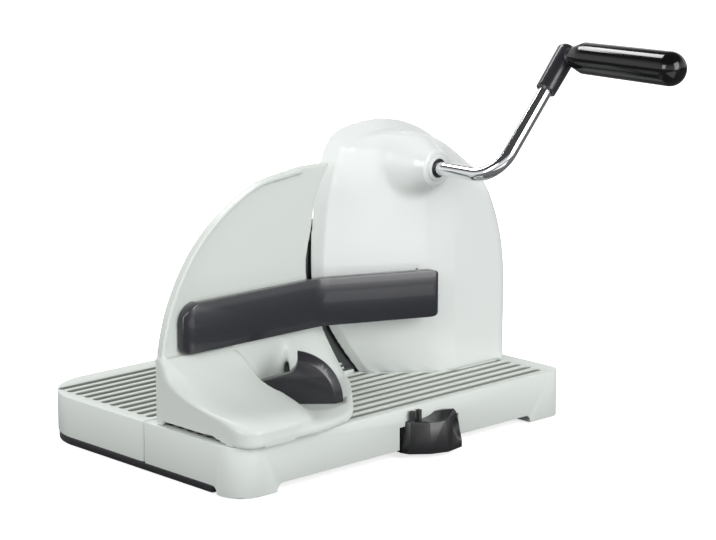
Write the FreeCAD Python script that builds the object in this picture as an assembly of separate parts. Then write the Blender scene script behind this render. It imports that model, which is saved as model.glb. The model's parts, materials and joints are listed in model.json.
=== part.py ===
"""Hand-cranked bread slicer: ribbed base, sliding bread carriage, round blade driven through a
gear pair by a crank, stop plate that sets the slice thickness, and a suction foot.

Places are measured from the left end of the base (x), from its near long wall (y) and from
the table (z), all in millimetres; at() turns them into the part's own frame, whose origin is
the centre of the footprint on the table.
"""
import FreeCAD, Part
import math
import os

V = FreeCAD.Vector

# ---- base and carriage -------------------------------------------------------------------
BASE_LENGTH = 316.0
BASE_WIDTH = 228.0
TRAY_TOP = 35.5          # height of the bread surface above the table
TRAY_THICKNESS = 4.0
WALL = 3.0               # moulded plastic wall
NEAR_WIDTH = 99.0        # fixed part of the tray, from the near wall to the seam
SEAM = 1.5               # gap between the fixed tray and the carriage, where the blade dips in
CORNER_LEFT = 20.0
CORNER_RIGHT = 10.0
CORNER_FAR = 45.0
PLATE_BOTTOM = 0.8
PLATE_TOP = 6.2
FOOT_LENGTH = 34.0       # white corner feet along the near wall
FOOT_DEPTH = 23.0        # and along the end walls
ARCH_RADIUS = 5.0
PAD_RADIUS = 7.0
PAD_HEIGHT = 2.0
PAD_INSET = 12.0
RIB_PITCH = 10.0
GROOVE_WIDTH = 6.0
GROOVE_DEPTH = 1.4
RIB_BORDER = 8.0
CARRIAGE_SHORT = 80.0    # how much shorter the carriage is than the base
CARRIAGE_TRAVEL = 130.0
CARRIAGE_LIFT = 0.4      # running gap between the carriage skirt and the under plate
CARRIAGE_EDGE = 3.0
BED_GAP = 3.5            # between the fixed bed and the inside of the carriage
BED_TOP_GAP = 0.4
BED_WALL = 2.5
BED_CORNER = 14.0

# ---- guide rail and shoes ----------------------------------------------------------------
RAIL_HEIGHT = 10.0
RAIL_DEPTH = 10.5
RAIL_BOTTOM = 10.0
RAIL_SHEET = 1.5
RAIL_SLOT = 4.0
SHOE_LENGTH = 30.0
SHOE_CLEARANCE = 0.3
SHOE_PLACES = (30.0, 140.0)

# ---- blade and gears ---------------------------------------------------------------------
BLADE_RADIUS = 85.0
BLADE_THICKNESS = 0.8
BLADE_INSET = 86.0       # blade axis, from the right end of the base
BLADE_Z = 113.5
BLADE_GROUND = 6.0       # width of the ground bevel
BLADE_TOOTH_PITCH = 12.1
FLANGE_RADIUS = 24.0
GEAR_MODULE = 1.5
PINION_TEETH = 20
IDLER_TEETH = 24
WHEEL_TEETH = 35
GEAR_WIDTH = 8.0
GEAR_BACKLASH = 0.16
SHAFT_RADIUS = 5.0
RUNNING_FIT = 0.05

# ---- gear housing ------------------------------------------------------------------------
HOUSING_SETBACK = 2.0    # from the seam side of the tray to the back of the housing
HOUSING_RIM = 7.0        # depth of the chamfered rim before the dome starts
HOUSING_DEPTH = 45.0
HOUSING_LEFT = -77.7     # from the blade axis
HOUSING_RIGHT = 85.5
HOUSING_HEIGHT = 187.0
HUB_PROUD = 5.5          # hub face, in front of the dome
HUB_RADIUS = 12.5
HUB_FLARE = ((13.5, 0.8), (14.6, 4.0), (17.0, 8.5), (20.8, 13.5), (25.2, 19.5), (29.5, 27.0),
             (33.0, 36.0))
BEARING_PLATE = 3.0
BUSH_WALL = 3.0
IDLER_PIN_RADIUS = 3.0
POST_RADIUS = 4.5

# ---- crank -------------------------------------------------------------------------------
CRANK_PLANE = -11.0      # the crank arm swings in this plane
CRANK_THROW = 107.0
CRANK_ANGLE = 48.4
CRANK_BEND = 22.0
SOCKET_RADIUS = 8.0
SOCKET_LENGTH = 38.0
SOCKET_OVER = 7.0        # socket past the grip axis
GRIP_LENGTH = 98.0
GRIP_RADIUS = 12.2
GRIP_NECK = 8.0
GRIP_PIN_RADIUS = 3.0
GRIP_GAP = 0.3

# ---- stop plate --------------------------------------------------------------------------
SLICE_MAX = 10.0         # slice thickness with the stop plate fully open
STOP_END_GAP = 0.35
PLATE_THICKNESS = 3.0
PLATE_RIM = 6.0
PLATE_LEFT = 3.0
PLATE_CROWN = 198.0
PLATE_EDGE_X = 22.8      # centre, from the blade axis, and radius of the hollow edge
PLATE_EDGE_Z = 126.2
PLATE_EDGE_RADIUS = 114.0
LOWER_EDGE_TOP = 112.0   # where the flatter lower arc of that edge takes over
LOWER_EDGE_X = 189.0
LOWER_EDGE_Z = 204.8
LOWER_EDGE_RADIUS = 293.0
CORNER_TRIM = 2.6        # draws the top corner in, clear of the housing rim
BOOT_GAP = 0.5           # under the boot, above the tray
BOOT_CORNER = 16.0
BOOT_RIGHT = -50.5       # from the blade axis
BOOT_ELBOW = 0.24        # where the near edge leaves its straight run, as a share of the width
# Heights, and how far back the flare stands there in its left part and in its right part.
BOOT_LEVELS = ((41.0, -6.0, 0.0), (44.5, -5.5, 30.0), (48.5, -3.5, 44.0), (51.5, 5.0, 52.0),
               (54.5, 25.0, 59.0), (59.0, 45.0, 66.0), (66.0, 62.0, 73.0), (74.0, 74.0, 79.0),
               (81.5, 82.0, 83.0))
# Bend of the near edge: share of the width, share of the depth behind the right part.
BOOT_BEND = ((0.52, 0.0), (0.61, 0.087), (0.725, 0.3), (0.88, 0.645))
RELIEF_HEIGHT = 2.5      # of the gap under the left side of the boot
ROD_RADIUS = 2.5
ROD_LEFT = 34.0
ROD_RIGHT = -90.0        # second rod, from the blade axis
ROD_HEIGHT = 26.0
SLIDE_Y = 62.0           # middle of the blocks that slide on the rods
SLIDE_LENGTH = 20.0
SLIDE_WIDTH = 16.0
NECK_LENGTH = 16.0       # the part of a slide block that passes through the tray
NECK_WIDTH = 8.0
SLOT_GAP = 0.5
SLIDE_SCREW_TOP = 49.0
SCREW_RADIUS = 1.4
SCREW_HOLE_RADIUS = 1.5

# ---- guide bar ---------------------------------------------------------------------------
BAR_BOTTOM = 82.5
BAR_TOP = 117.5
BAR_THICKNESS = 6.0
BAR_STANDOFF = 3.3       # behind the bar, in front of the plate
BAR_LEFT = 20.0
BAR_BEND = -84.0         # from the blade axis
BAR_SWEEP = 42.5         # how far the free end stands out to the near side
BAR_RETURN = 13.0        # the left end turns back to the plate over this length

# ---- thickness lever ---------------------------------------------------------------------
LEVER_X = -132.0         # from the blade axis
LEVER_SETBACK = 31.0     # lever pin, from the face of the stop plate
LEVER_ANGLE = -41.0      # heading of the lever blade, seen from above
LEVER_RADIUS = 37.0
LEVER_CHAMFER = 5.5      # ground off the near edge of its rim
LEVER_TAIL = 24.0        # reach of the low tail behind the pin
LEVER_TAIL_BOTTOM = 52.6
LEVER_TAIL_TOP = 54.4
LEVER_THUMB = 62.0       # height of the corner that the thumb hollow rounds
LEVER_THUMB_RADIUS = 11.0
LEVER_THICKNESS = 8.0
LEVER_TRAVEL = 60.0
LEVER_FLOOR = 38.5
LEVER_PIN_RADIUS = 1.5
LEVER_GAP = 0.5
POCKET_GAP = 2.0         # past the rim of the lever
POCKET_SWEEP = 82.0      # degrees of the pocket that the lever turns in
POCKET_LEFT = 21.0       # left wall of the pocket, from the lever pin
POCKET_NEAR = 32.0       # near end of that wall, from the lever pin
POCKET_HUB = 9.5         # radius round the pin
SCOOP_START = 54.0       # headings between which the hollow round the tail is cut
SCOOP_SWEEP = 194.0
# Radius about the lever pin, and height: the hollow that the tail turns in, up to its mouth.
SCOOP = ((7.0, 38.5), (25.2, 52.0), (25.6, 56.0), (27.5, 63.0), (32.0, 71.0), (40.0, 79.0))

# ---- suction foot ------------------------------------------------------------------------
KNOB_X = -53.0           # from the blade axis
KNOB_Y = 6.0
KNOB_RADIUS = 27.0
KNOB_BOTTOM = 4.0
KNOB_TOP = 22.0
KNOB_PEAK = 32.0
KNOB_TRAVEL = 30.0
PIVOT_RADIUS = 2.0
CAM_THICKNESS = 4.0
CAM_GAP = 0.5            # between the cup's hub and the cam arm, with the cup lifted
CUP_REACH = 62.0         # from the knob axis to the cup axis
CUP_RADIUS = 32.0
CUP_LIP = 2.2
CUP_HUB_TOP = 7.5
CUP_LIFT = 2.0
CAM_MARGIN = 7.0         # degrees of slot and arm past the stem at each end of the turn
STEM_FOOT = 4.5
STEM_RADIUS = 3.0
STEM_TOP = 27.0
GUIDE_HEIGHT = 9.0       # how far the stem reaches into its guide

FINE = 0.1

# ---- places worked out from the sizes above ----------------------------------------------
CARRIAGE_LENGTH = BASE_LENGTH - CARRIAGE_SHORT
BLADE_X = BASE_LENGTH - BLADE_INSET
BLADE_TEETH = round(2 * math.pi * BLADE_RADIUS / BLADE_TOOTH_PITCH)
HOUSING_BACK = NEAR_WIDTH - HOUSING_SETBACK
HOUSING_FRONT = HOUSING_BACK - HOUSING_DEPTH
HUB_FACE = HOUSING_FRONT - HUB_PROUD
BAR_RIGHT = BLADE_X
LEVER_PIN_X = BLADE_X + LEVER_X
KNOB_AXIS_X = BLADE_X + KNOB_X
ROD_PLACES = (ROD_LEFT, BLADE_X + ROD_RIGHT)
SEAM_Y = NEAR_WIDTH + SEAM
BLADE_NEAR = NEAR_WIDTH + (SEAM - BLADE_THICKNESS) / 2
PINION_RADIUS = GEAR_MODULE * PINION_TEETH / 2
WHEEL_RADIUS = GEAR_MODULE * WHEEL_TEETH / 2
IDLER_RADIUS = GEAR_MODULE * IDLER_TEETH / 2
IDLER_Z = BLADE_Z + WHEEL_RADIUS + IDLER_RADIUS
CRANK_X = BLADE_X
CRANK_Z = IDLER_Z + IDLER_RADIUS + PINION_RADIUS
BEARING_FRONT = HOUSING_BACK - BEARING_PLATE
GEAR_BACK = BEARING_FRONT - 2.0
GEAR_FRONT = GEAR_BACK - GEAR_WIDTH
BUSH_RADIUS = SHAFT_RADIUS + BUSH_WALL
STOP_FACE = BLADE_NEAR - SLICE_MAX
STOP_TRAVEL = SLICE_MAX - STOP_END_GAP
LEVER_Y = STOP_FACE - LEVER_SETBACK
PLATE_NEAR = STOP_FACE - PLATE_THICKNESS
BAR_BACK = PLATE_NEAR - BAR_STANDOFF
BOOT_BOTTOM = TRAY_TOP + BOOT_GAP
BOOT_TOP = BOOT_LEVELS[-1][0]
TRAY_FLOOR = TRAY_TOP - TRAY_THICKNESS
CUP_Y = KNOB_Y + CUP_REACH
PIVOT_TOP = KNOB_TOP + 8.0
CAM_BOTTOM = CUP_HUB_TOP + CUP_LIFT + CAM_GAP


def at(x, y, z):
    """A point given from the left end, the near wall and the table."""
    return V(x - BASE_LENGTH / 2, y - BASE_WIDTH / 2, z)


def rod_y(x, z, y0, y1, radius, radius_end=None):
    """A round bar, or a cone, along Y."""
    if radius_end is None:
        return Part.makeCylinder(radius, y1 - y0, at(x, y0, z), V(0, 1, 0))
    return Part.makeCone(radius, radius_end, y1 - y0, at(x, y0, z), V(0, 1, 0))


def rod_z(x, y, z0, z1, radius):
    """A round bar along Z."""
    return Part.makeCylinder(radius, z1 - z0, at(x, y, z0), V(0, 0, 1))


def block(x0, y0, z0, x1, y1, z1):
    return Part.makeBox(x1 - x0, y1 - y0, z1 - z0, at(x0, y0, z0))


def outline(corners, place):
    """A closed wire round the corners (u, v, radius), with a tangent arc at each radius."""
    edges = []
    ends = []
    count = len(corners)
    for i, (u, v, radius) in enumerate(corners):
        here = V(u, v, 0)
        back = V(*corners[i - 1][:2], 0) - here
        ahead = V(*corners[(i + 1) % count][:2], 0) - here
        back.normalize()
        ahead.normalize()
        if radius <= 0:
            ends.append((here, None, here))
            continue
        half = back.getAngle(ahead) / 2
        reach = radius / math.tan(half)
        inward = back + ahead
        inward.normalize()
        middle = here + inward * (radius / math.sin(half) - radius)
        ends.append((here + back * reach, middle, here + ahead * reach))
    for i, (start, middle, end) in enumerate(ends):
        if middle is not None:
            arc = Part.Arc(*[place(p.x, p.y) for p in (start, middle, end)])
            edges.append(arc.toShape())
        following = ends[(i + 1) % count][0]
        if (following - end).Length > 1e-6:
            line = Part.LineSegment(place(end.x, end.y), place(following.x, following.y))
            edges.append(line.toShape())
    return Part.Wire(edges)


def plan_prism(corners, z0, z1):
    """A plan outline raised from z0 to z1."""
    wire = outline(corners, lambda u, v: at(u, v, z0))
    return Part.Face(wire).extrude(V(0, 0, z1 - z0))


def front_prism(corners, y0, y1):
    """An outline in the X-Z plane, drawn out from y0 to y1."""
    wire = outline(corners, lambda u, v: at(u, y0, v))
    return Part.Face(wire).extrude(V(0, y1 - y0, 0))


def side_prism(corners, x0, x1):
    """An outline in the Y-Z plane, drawn out from x0 to x1."""
    wire = outline(corners, lambda u, v: at(x0, u, v))
    return Part.Face(wire).extrude(V(x1 - x0, 0, 0))


def box_corners(u0, v0, u1, v1, radius):
    return [(u0, v0, radius), (u1, v0, radius), (u1, v1, radius), (u0, v1, radius)]


def grooves(first, last, x0, x1):
    """The hollows between the ribs of a bread surface."""
    cutters = []
    y = first
    while y + GROOVE_WIDTH <= last:
        corners = box_corners(x0, y, x1, y + GROOVE_WIDTH, GROOVE_WIDTH / 2 - FINE)
        cutters.append(plan_prism(corners, TRAY_TOP - GROOVE_DEPTH, TRAY_TOP + 1))
        y += RIB_PITCH
    return Part.makeCompound(cutters)


# ---- base ---------------------------------------------------------------------------------

def tray_plan(inset):
    return [(inset, inset, CORNER_LEFT - inset),
            (BASE_LENGTH - inset, inset, CORNER_RIGHT - inset),
            (BASE_LENGTH - inset, NEAR_WIDTH - inset, 0),
            (inset, NEAR_WIDTH - inset, 0)]


# Housing screws: from the blade axis and from the back of the housing.
HOUSING_BOSSES = [(BLADE_X + x, HOUSING_BACK - y) for x, y in ((-14.0, 13.0), (70.0, 13.0), (66.0, 31.0))]
BASE_SCREWS = ((14.0, NEAR_WIDTH / 2), (BASE_LENGTH - 14.0, NEAR_WIDTH / 2 - 10),
               (BLADE_X - 118.0, NEAR_WIDTH - 24), (BLADE_X + 18.0, NEAR_WIDTH - 24))


def make_base_tray():
    tray = plan_prism(tray_plan(0), 0.6, TRAY_TOP)
    tray = tray.cut(plan_prism(tray_plan(WALL), 0, TRAY_FLOOR))
    for x in (FOOT_LENGTH / 2, BASE_LENGTH - FOOT_LENGTH / 2):
        foot = plan_prism(tray_plan(FINE), 0.6, PLATE_TOP)
        side = block(x - FOOT_LENGTH / 2, 0, 0, x + FOOT_LENGTH / 2, FOOT_DEPTH, PLATE_TOP)
        tray = tray.fuse(foot.common(side))
    arch = front_prism([(FOOT_LENGTH, -1, 0), (BASE_LENGTH - FOOT_LENGTH, -1, 0),
                        (BASE_LENGTH - FOOT_LENGTH, PLATE_TOP, ARCH_RADIUS),
                        (FOOT_LENGTH, PLATE_TOP, ARCH_RADIUS)], -1, BASE_WIDTH)
    end_arch = side_prism([(FOOT_DEPTH, -1, 0), (BASE_WIDTH, -1, 0), (BASE_WIDTH, PLATE_TOP, 0),
                           (FOOT_DEPTH, PLATE_TOP, ARCH_RADIUS)], -1, BASE_LENGTH + 1)
    tray = tray.cut(arch).cut(end_arch)
    rail_block = block(WALL, NEAR_WIDTH - RAIL_DEPTH - WALL, RAIL_BOTTOM - WALL,
                       BASE_LENGTH - WALL, NEAR_WIDTH - FINE, RAIL_BOTTOM + RAIL_HEIGHT + WALL)
    tray = tray.fuse(rail_block)
    tray = tray.cut(block(WALL, NEAR_WIDTH - RAIL_DEPTH, RAIL_BOTTOM,
                          BASE_LENGTH - WALL, NEAR_WIDTH + 1, RAIL_BOTTOM + RAIL_HEIGHT))
    tray = tray.cut(grooves(RIB_BORDER, NEAR_WIDTH - WALL, RIB_BORDER, BASE_LENGTH - 13))
    plinth = plan_prism(housing_foot_plan(), TRAY_FLOOR + 1, TRAY_TOP)
    tray = tray.fuse(plinth)
    for x, y in BASE_SCREWS:
        tray = tray.fuse(rod_z(x, y, PLATE_TOP, TRAY_FLOOR + 1, 4.5))
        tray = tray.cut(rod_z(x, y, 0, 20, 1.6))
    for x, y in HOUSING_BOSSES:
        tray = tray.cut(rod_z(x, y, TRAY_FLOOR - 1, TRAY_TOP + 1, 2.2))
    half = NECK_WIDTH / 2 + SLOT_GAP
    slot_near = SLIDE_Y - NECK_LENGTH / 2 - SLOT_GAP
    slot_far = SLIDE_Y + NECK_LENGTH / 2 + STOP_TRAVEL + SLOT_GAP
    for x in ROD_PLACES:
        corners = box_corners(x - half, slot_near, x + half, slot_far, half - FINE)
        tray = tray.cut(plan_prism(corners, TRAY_FLOOR - 1, TRAY_TOP + 1))
    guide = rod_z(KNOB_AXIS_X, CUP_Y, STEM_TOP - GUIDE_HEIGHT, TRAY_FLOOR + 1, STEM_RADIUS + 4)
    tray = tray.fuse(guide)
    tray = tray.cut(rod_z(KNOB_AXIS_X, CUP_Y, STEM_TOP - GUIDE_HEIGHT - 1, STEM_TOP + CUP_LIFT + 1,
                          STEM_RADIUS + RUNNING_FIT))
    window = front_prism(box_corners(KNOB_AXIS_X - KNOB_RADIUS - 2, -3, KNOB_AXIS_X + KNOB_RADIUS + 2,
                                     KNOB_PEAK - 2, 2), -1, WALL + 1)
    tray = tray.cut(window)
    pillar = rod_z(KNOB_AXIS_X, KNOB_Y, KNOB_TOP + 0.5, TRAY_FLOOR + 1, PIVOT_RADIUS + WALL)
    tray = tray.fuse(pillar)
    tray = tray.cut(rod_z(KNOB_AXIS_X, KNOB_Y, KNOB_TOP - 1, PIVOT_TOP, PIVOT_RADIUS))
    for x, y in pad_places():
        tray = tray.cut(rod_z(x, y, 0, PAD_HEIGHT, PAD_RADIUS))
    return tray.removeSplitter()


def pad_places():
    """Centres of the rubber pads: two under the corner feet, four and one under the plate."""
    return ((PAD_INSET, PAD_INSET), (BASE_LENGTH - PAD_INSET, PAD_INSET), (30.0, 110.0),
            (BASE_LENGTH - 26.0, 110.0), (50.0, BASE_WIDTH - 23.0),
            (BASE_LENGTH - 30.0, BASE_WIDTH - 23.0), (BASE_LENGTH / 2, BASE_WIDTH / 2))


def make_under_plate():
    near = FOOT_DEPTH + ARCH_RADIUS
    corners = [(0.5, near, 2), (BASE_LENGTH - 0.5, near, 2),
               (BASE_LENGTH - 0.5, BASE_WIDTH - 0.5, 18), (0.5, BASE_WIDTH - 0.5, CORNER_FAR)]
    plate = plan_prism(corners, PLATE_BOTTOM, PLATE_TOP)
    plate = plate.cut(rod_z(KNOB_AXIS_X, CUP_Y, 0, PLATE_TOP + 1, CUP_RADIUS + 1.5))
    for x, y in BASE_SCREWS:
        plate = plate.cut(rod_z(x, y, 0, PLATE_TOP + 1, 1.8))
        plate = plate.cut(rod_z(x, y, 0, PLATE_BOTTOM + 2.4, 3.8))
    for x, y in pad_places():
        plate = plate.cut(rod_z(x, y, 0, PAD_HEIGHT, PAD_RADIUS))
    return plate


def make_rubber_feet():
    pads = []
    for x, y in pad_places():
        pads.append(rod_z(x, y, 0, PAD_HEIGHT, PAD_RADIUS))
    return Part.makeCompound(pads)


def make_base_screws():
    screws = []
    for x, y in BASE_SCREWS:
        head = rod_z(x, y, PLATE_BOTTOM + 0.2, PLATE_BOTTOM + 2.4, 3.5)
        screws.append(head.fuse(rod_z(x, y, PLATE_BOTTOM + 2.4, 18, 1.5)))
    return Part.makeCompound(screws)


def make_guide_rail():
    """The lipped channel that the carriage shoes run in."""
    back = NEAR_WIDTH - RAIL_DEPTH
    rail = block(WALL, back, RAIL_BOTTOM, BASE_LENGTH - WALL, NEAR_WIDTH - 0.2,
                 RAIL_BOTTOM + RAIL_HEIGHT)
    rail = rail.cut(block(0, back + RAIL_SHEET, RAIL_BOTTOM + RAIL_SHEET, BASE_LENGTH,
                          NEAR_WIDTH - 0.2 - RAIL_SHEET, RAIL_BOTTOM + RAIL_HEIGHT - RAIL_SHEET))
    middle = RAIL_BOTTOM + RAIL_HEIGHT / 2
    return rail.cut(block(0, back + RAIL_SHEET, middle - RAIL_SLOT / 2, BASE_LENGTH,
                          NEAR_WIDTH + 1, middle + RAIL_SLOT / 2))


def make_stop_rods():
    rods = []
    for x in ROD_PLACES:
        rods.append(rod_y(x, ROD_HEIGHT, WALL, NEAR_WIDTH - WALL, ROD_RADIUS))
    return Part.makeCompound(rods)


# ---- carriage -----------------------------------------------------------------------------

def carriage_plan(inset):
    return [(inset, SEAM_Y + inset, CARRIAGE_EDGE),
            (CARRIAGE_LENGTH - inset, SEAM_Y + inset, CARRIAGE_EDGE),
            (CARRIAGE_LENGTH - inset, BASE_WIDTH - inset, CARRIAGE_EDGE),
            (inset, BASE_WIDTH - inset, CORNER_FAR - inset)]


def make_carriage_tray():
    bottom = PLATE_TOP + CARRIAGE_LIFT
    tray = plan_prism(carriage_plan(0), bottom, TRAY_TOP)
    tray = tray.cut(plan_prism(carriage_plan(WALL), bottom - 1, TRAY_FLOOR))
    tray = tray.cut(block(CARRIAGE_LENGTH - WALL - 4, SEAM_Y + WALL, bottom - 1,
                          CARRIAGE_LENGTH + 1, BASE_WIDTH - WALL, TRAY_FLOOR))
    tray = tray.cut(grooves(SEAM_Y + 5, BASE_WIDTH - RIB_BORDER, RIB_BORDER + 2,
                            CARRIAGE_LENGTH - RIB_BORDER))
    middle = RAIL_BOTTOM + RAIL_HEIGHT / 2
    for x in SHOE_PLACES:
        tray = tray.cut(rod_y(x, middle, SEAM_Y - 1, SEAM_Y + WALL + 1, 1.7))
    return tray


def make_carriage_bed():
    """The fixed bed under the carriage, open below, which shows to the right of it."""
    left = CARRIAGE_TRAVEL + WALL + 4.0
    near = SEAM_Y + WALL + BED_GAP
    far = BASE_WIDTH - WALL - BED_GAP
    top = TRAY_FLOOR - BED_TOP_GAP
    right = BASE_LENGTH - 1
    far_corner = CORNER_FAR - WALL - BED_GAP
    corners = [(left, near, 3), (right, near, 3), (right, far, BED_CORNER), (left, far, far_corner)]
    bed = plan_prism(corners, PLATE_TOP, top)
    inner = [(left + BED_WALL, near + BED_WALL, 0), (right - BED_WALL, near + BED_WALL, 0),
             (right - BED_WALL, far - BED_WALL, BED_CORNER - BED_WALL),
             (left + BED_WALL, far - BED_WALL, far_corner - BED_WALL)]
    return bed.cut(plan_prism(inner, PLATE_TOP - 1, top - BED_WALL))


def make_guide_shoes():
    """T-shaped shoes: the head runs inside the lipped channel."""
    shoes = []
    middle = RAIL_BOTTOM + RAIL_HEIGHT / 2
    head = RAIL_HEIGHT / 2 - RAIL_SHEET - SHOE_CLEARANCE
    neck = RAIL_SLOT / 2 - SHOE_CLEARANCE
    head_near = NEAR_WIDTH - RAIL_DEPTH + RAIL_SHEET + SHOE_CLEARANCE
    head_far = NEAR_WIDTH - 0.2 - RAIL_SHEET - SHOE_CLEARANCE
    for x in SHOE_PLACES:
        x0 = x - SHOE_LENGTH / 2
        x1 = x + SHOE_LENGTH / 2
        shoe = block(x0, head_near, middle - head, x1, head_far, middle + head)
        shoe = shoe.fuse(block(x0, head_far, middle - neck, x1, SEAM_Y, middle + neck))
        shoes.append(shoe.cut(rod_y(x, middle, head_far - 4, SEAM_Y + 1, 1.3)))
    return Part.makeCompound(shoes)


def make_shoe_screws():
    screws = []
    middle = RAIL_BOTTOM + RAIL_HEIGHT / 2
    for x in SHOE_PLACES:
        shank = rod_y(x, middle, SEAM_Y - 4, SEAM_Y + WALL, 1.2)
        screws.append(shank.fuse(rod_y(x, middle, SEAM_Y + WALL, SEAM_Y + WALL + 2, 3)))
    return Part.makeCompound(screws)


# ---- gear housing -------------------------------------------------------------------------

# The rim outline, from the blade axis and the tray: up the left side, over the crown, down the
# right side.
HOUSING_OUTLINE = ((-30.0, 0.0), (-45.1, 18.0), (-58.8, 37.0), (-70.0, 57.0), (-76.6, 76.5),
                   (-77.9, 95.0), (-75.5, 125.0), (-66.5, 166.0), (-58.0, 179.0), (-40.0, 185.5),
                   (-8.0, 187.0), (15.0, 182.5), (39.0, 172.0), (59.0, 156.0), (73.0, 132.0),
                   (82.0, 103.0), (85.5, 68.0), (85.5, 0.0))
HOUSING_MIDDLE = 32.0
# Dome sections: share of the depth, then the shares of the left, right and height that are left.
RIM_FRONT_SHARES = (0.935, 0.985, 0.957)
DOME_SECTIONS = ((0.2, 0.79, 0.982, 0.95), (0.45, 0.61, 0.975, 0.94), (0.68, 0.427, 0.955, 0.925),
                 (0.85, 0.29, 0.92, 0.90), (0.95, 0.17, 0.87, 0.865), (1.0, 0.08, 0.77, 0.80))


def housing_section(y, left, right, height, inset):
    """The rim outline at depth y, with each side drawn in towards the middle."""
    points = []
    crown = HOUSING_HEIGHT * height - inset
    left_span = (HOUSING_MIDDLE - HOUSING_LEFT) * left - inset
    right_span = (HOUSING_RIGHT - HOUSING_MIDDLE) * right - inset
    middle = BLADE_X + HOUSING_MIDDLE
    for x, z in HOUSING_OUTLINE:
        if x < HOUSING_MIDDLE:
            offset = (x - HOUSING_MIDDLE) / (HOUSING_MIDDLE - HOUSING_LEFT) * left_span
        else:
            offset = (x - HOUSING_MIDDLE) / (HOUSING_RIGHT - HOUSING_MIDDLE) * right_span
        points.append(at(middle + offset, y, TRAY_TOP + z / HOUSING_HEIGHT * crown))
    curve = Part.BSplineCurve()
    curve.interpolate(points)
    return Part.Wire([curve.toShape(), Part.LineSegment(points[-1], points[0]).toShape()])


def housing_form(inset):
    """The closed form of the housing, or its hollow when inset is the wall."""
    rim_front = HOUSING_BACK - HOUSING_RIM
    rim_section = housing_section(rim_front, *RIM_FRONT_SHARES, inset)
    rim = Part.makeLoft([housing_section(HOUSING_BACK, 1.0, 1.0, 1.0, inset), rim_section],
                        True, True)
    depth = rim_front - HOUSING_FRONT - inset
    sections = [rim_section]
    for part, left, right, height in DOME_SECTIONS:
        sections.append(housing_section(rim_front - depth * part, left, right, height, inset))
    return rim.fuse(Part.makeLoft(sections, True, False))


def housing_foot_plan():
    """Where the housing stands on the tray."""
    rim_front = HOUSING_BACK - HOUSING_RIM
    left = BLADE_X + HOUSING_OUTLINE[0][0]
    right = BLADE_X + HOUSING_RIGHT
    return [(left, HOUSING_BACK, 0), (left + 4, rim_front, 0), (BLADE_X + 8, HOUSING_FRONT + 9, 8),
            (BLADE_X + 32, HOUSING_FRONT, 8), (right - 11.5, HOUSING_FRONT, 10),
            (right - 1, rim_front - 12, 10), (right, HOUSING_BACK, 0)]


# Screw posts of the back plate, from the blade axis and the table.
BEARING_POSTS = [(BLADE_X + x, z) for x, z in ((-56.0, 116.0), (74.0, 112.0), (52.0, 176.0),
                                               (-38.0, 203.0), (-22.0, 50.0), (72.0, 50.0))]


def hub_form(inset):
    """The nose that flares out of the dome round the crank shaft, or its hollow."""
    face = HUB_FACE + inset
    flare = [(radius - inset, face + depth) for radius, depth in HUB_FLARE]
    points = [at(CRANK_X + radius, y, CRANK_Z) for radius, y in flare]
    curve = Part.BSplineCurve()
    curve.interpolate(points)
    corners = [at(CRANK_X, face, CRANK_Z), at(CRANK_X + HUB_RADIUS - inset, face, CRANK_Z), points[0]]
    back = at(CRANK_X, flare[-1][1], CRANK_Z)
    edges = [Part.LineSegment(corners[0], corners[1]).toShape(),
             Part.LineSegment(corners[1], corners[2]).toShape(), curve.toShape(),
             Part.LineSegment(points[-1], back).toShape(),
             Part.LineSegment(back, corners[0]).toShape()]
    nose = Part.Face(Part.Wire(edges)).revolve(corners[0], V(0, 1, 0), 360)
    rim_front = HOUSING_BACK - HOUSING_RIM
    limit = Part.Face(housing_section(rim_front, *RIM_FRONT_SHARES, inset))
    return nose.common(limit.extrude(V(0, face - 1 - rim_front, 0)))


def make_gear_housing():
    form = housing_form(0).fuse(hub_form(0))
    shell = form.cut(housing_form(WALL).fuse(hub_form(WALL)))
    post_end = GEAR_FRONT - 2
    bosses = [rod_y(CRANK_X, CRANK_Z, HUB_FACE, post_end, BUSH_RADIUS + WALL),
              rod_y(BLADE_X, BLADE_Z, HOUSING_FRONT, post_end, BUSH_RADIUS + WALL),
              rod_y(BLADE_X, IDLER_Z, HOUSING_FRONT, post_end, IDLER_PIN_RADIUS + WALL)]
    for x, z in BEARING_POSTS:
        bosses.append(rod_y(x, z, HOUSING_FRONT, BEARING_FRONT, POST_RADIUS))
    for x, y in HOUSING_BOSSES:
        bosses.append(rod_z(x, y, TRAY_TOP, TRAY_TOP + 14, POST_RADIUS))
    for boss in bosses:
        shell = shell.fuse(boss.common(form))
    shell = shell.cut(rod_y(CRANK_X, CRANK_Z, HUB_FACE - 1, GEAR_FRONT, BUSH_RADIUS))
    shell = shell.cut(rod_y(BLADE_X, BLADE_Z, HOUSING_FRONT + 9, GEAR_FRONT, BUSH_RADIUS))
    shell = shell.cut(rod_y(BLADE_X, IDLER_Z, HOUSING_FRONT + 12, GEAR_FRONT, IDLER_PIN_RADIUS))
    for x, z in BEARING_POSTS:
        shell = shell.cut(rod_y(x, z, BEARING_FRONT - 9, HOUSING_BACK, 1.5))
    for x, y in HOUSING_BOSSES:
        shell = shell.cut(rod_z(x, y, TRAY_TOP - 1, TRAY_TOP + 12, 1.5))
    return shell


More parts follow.
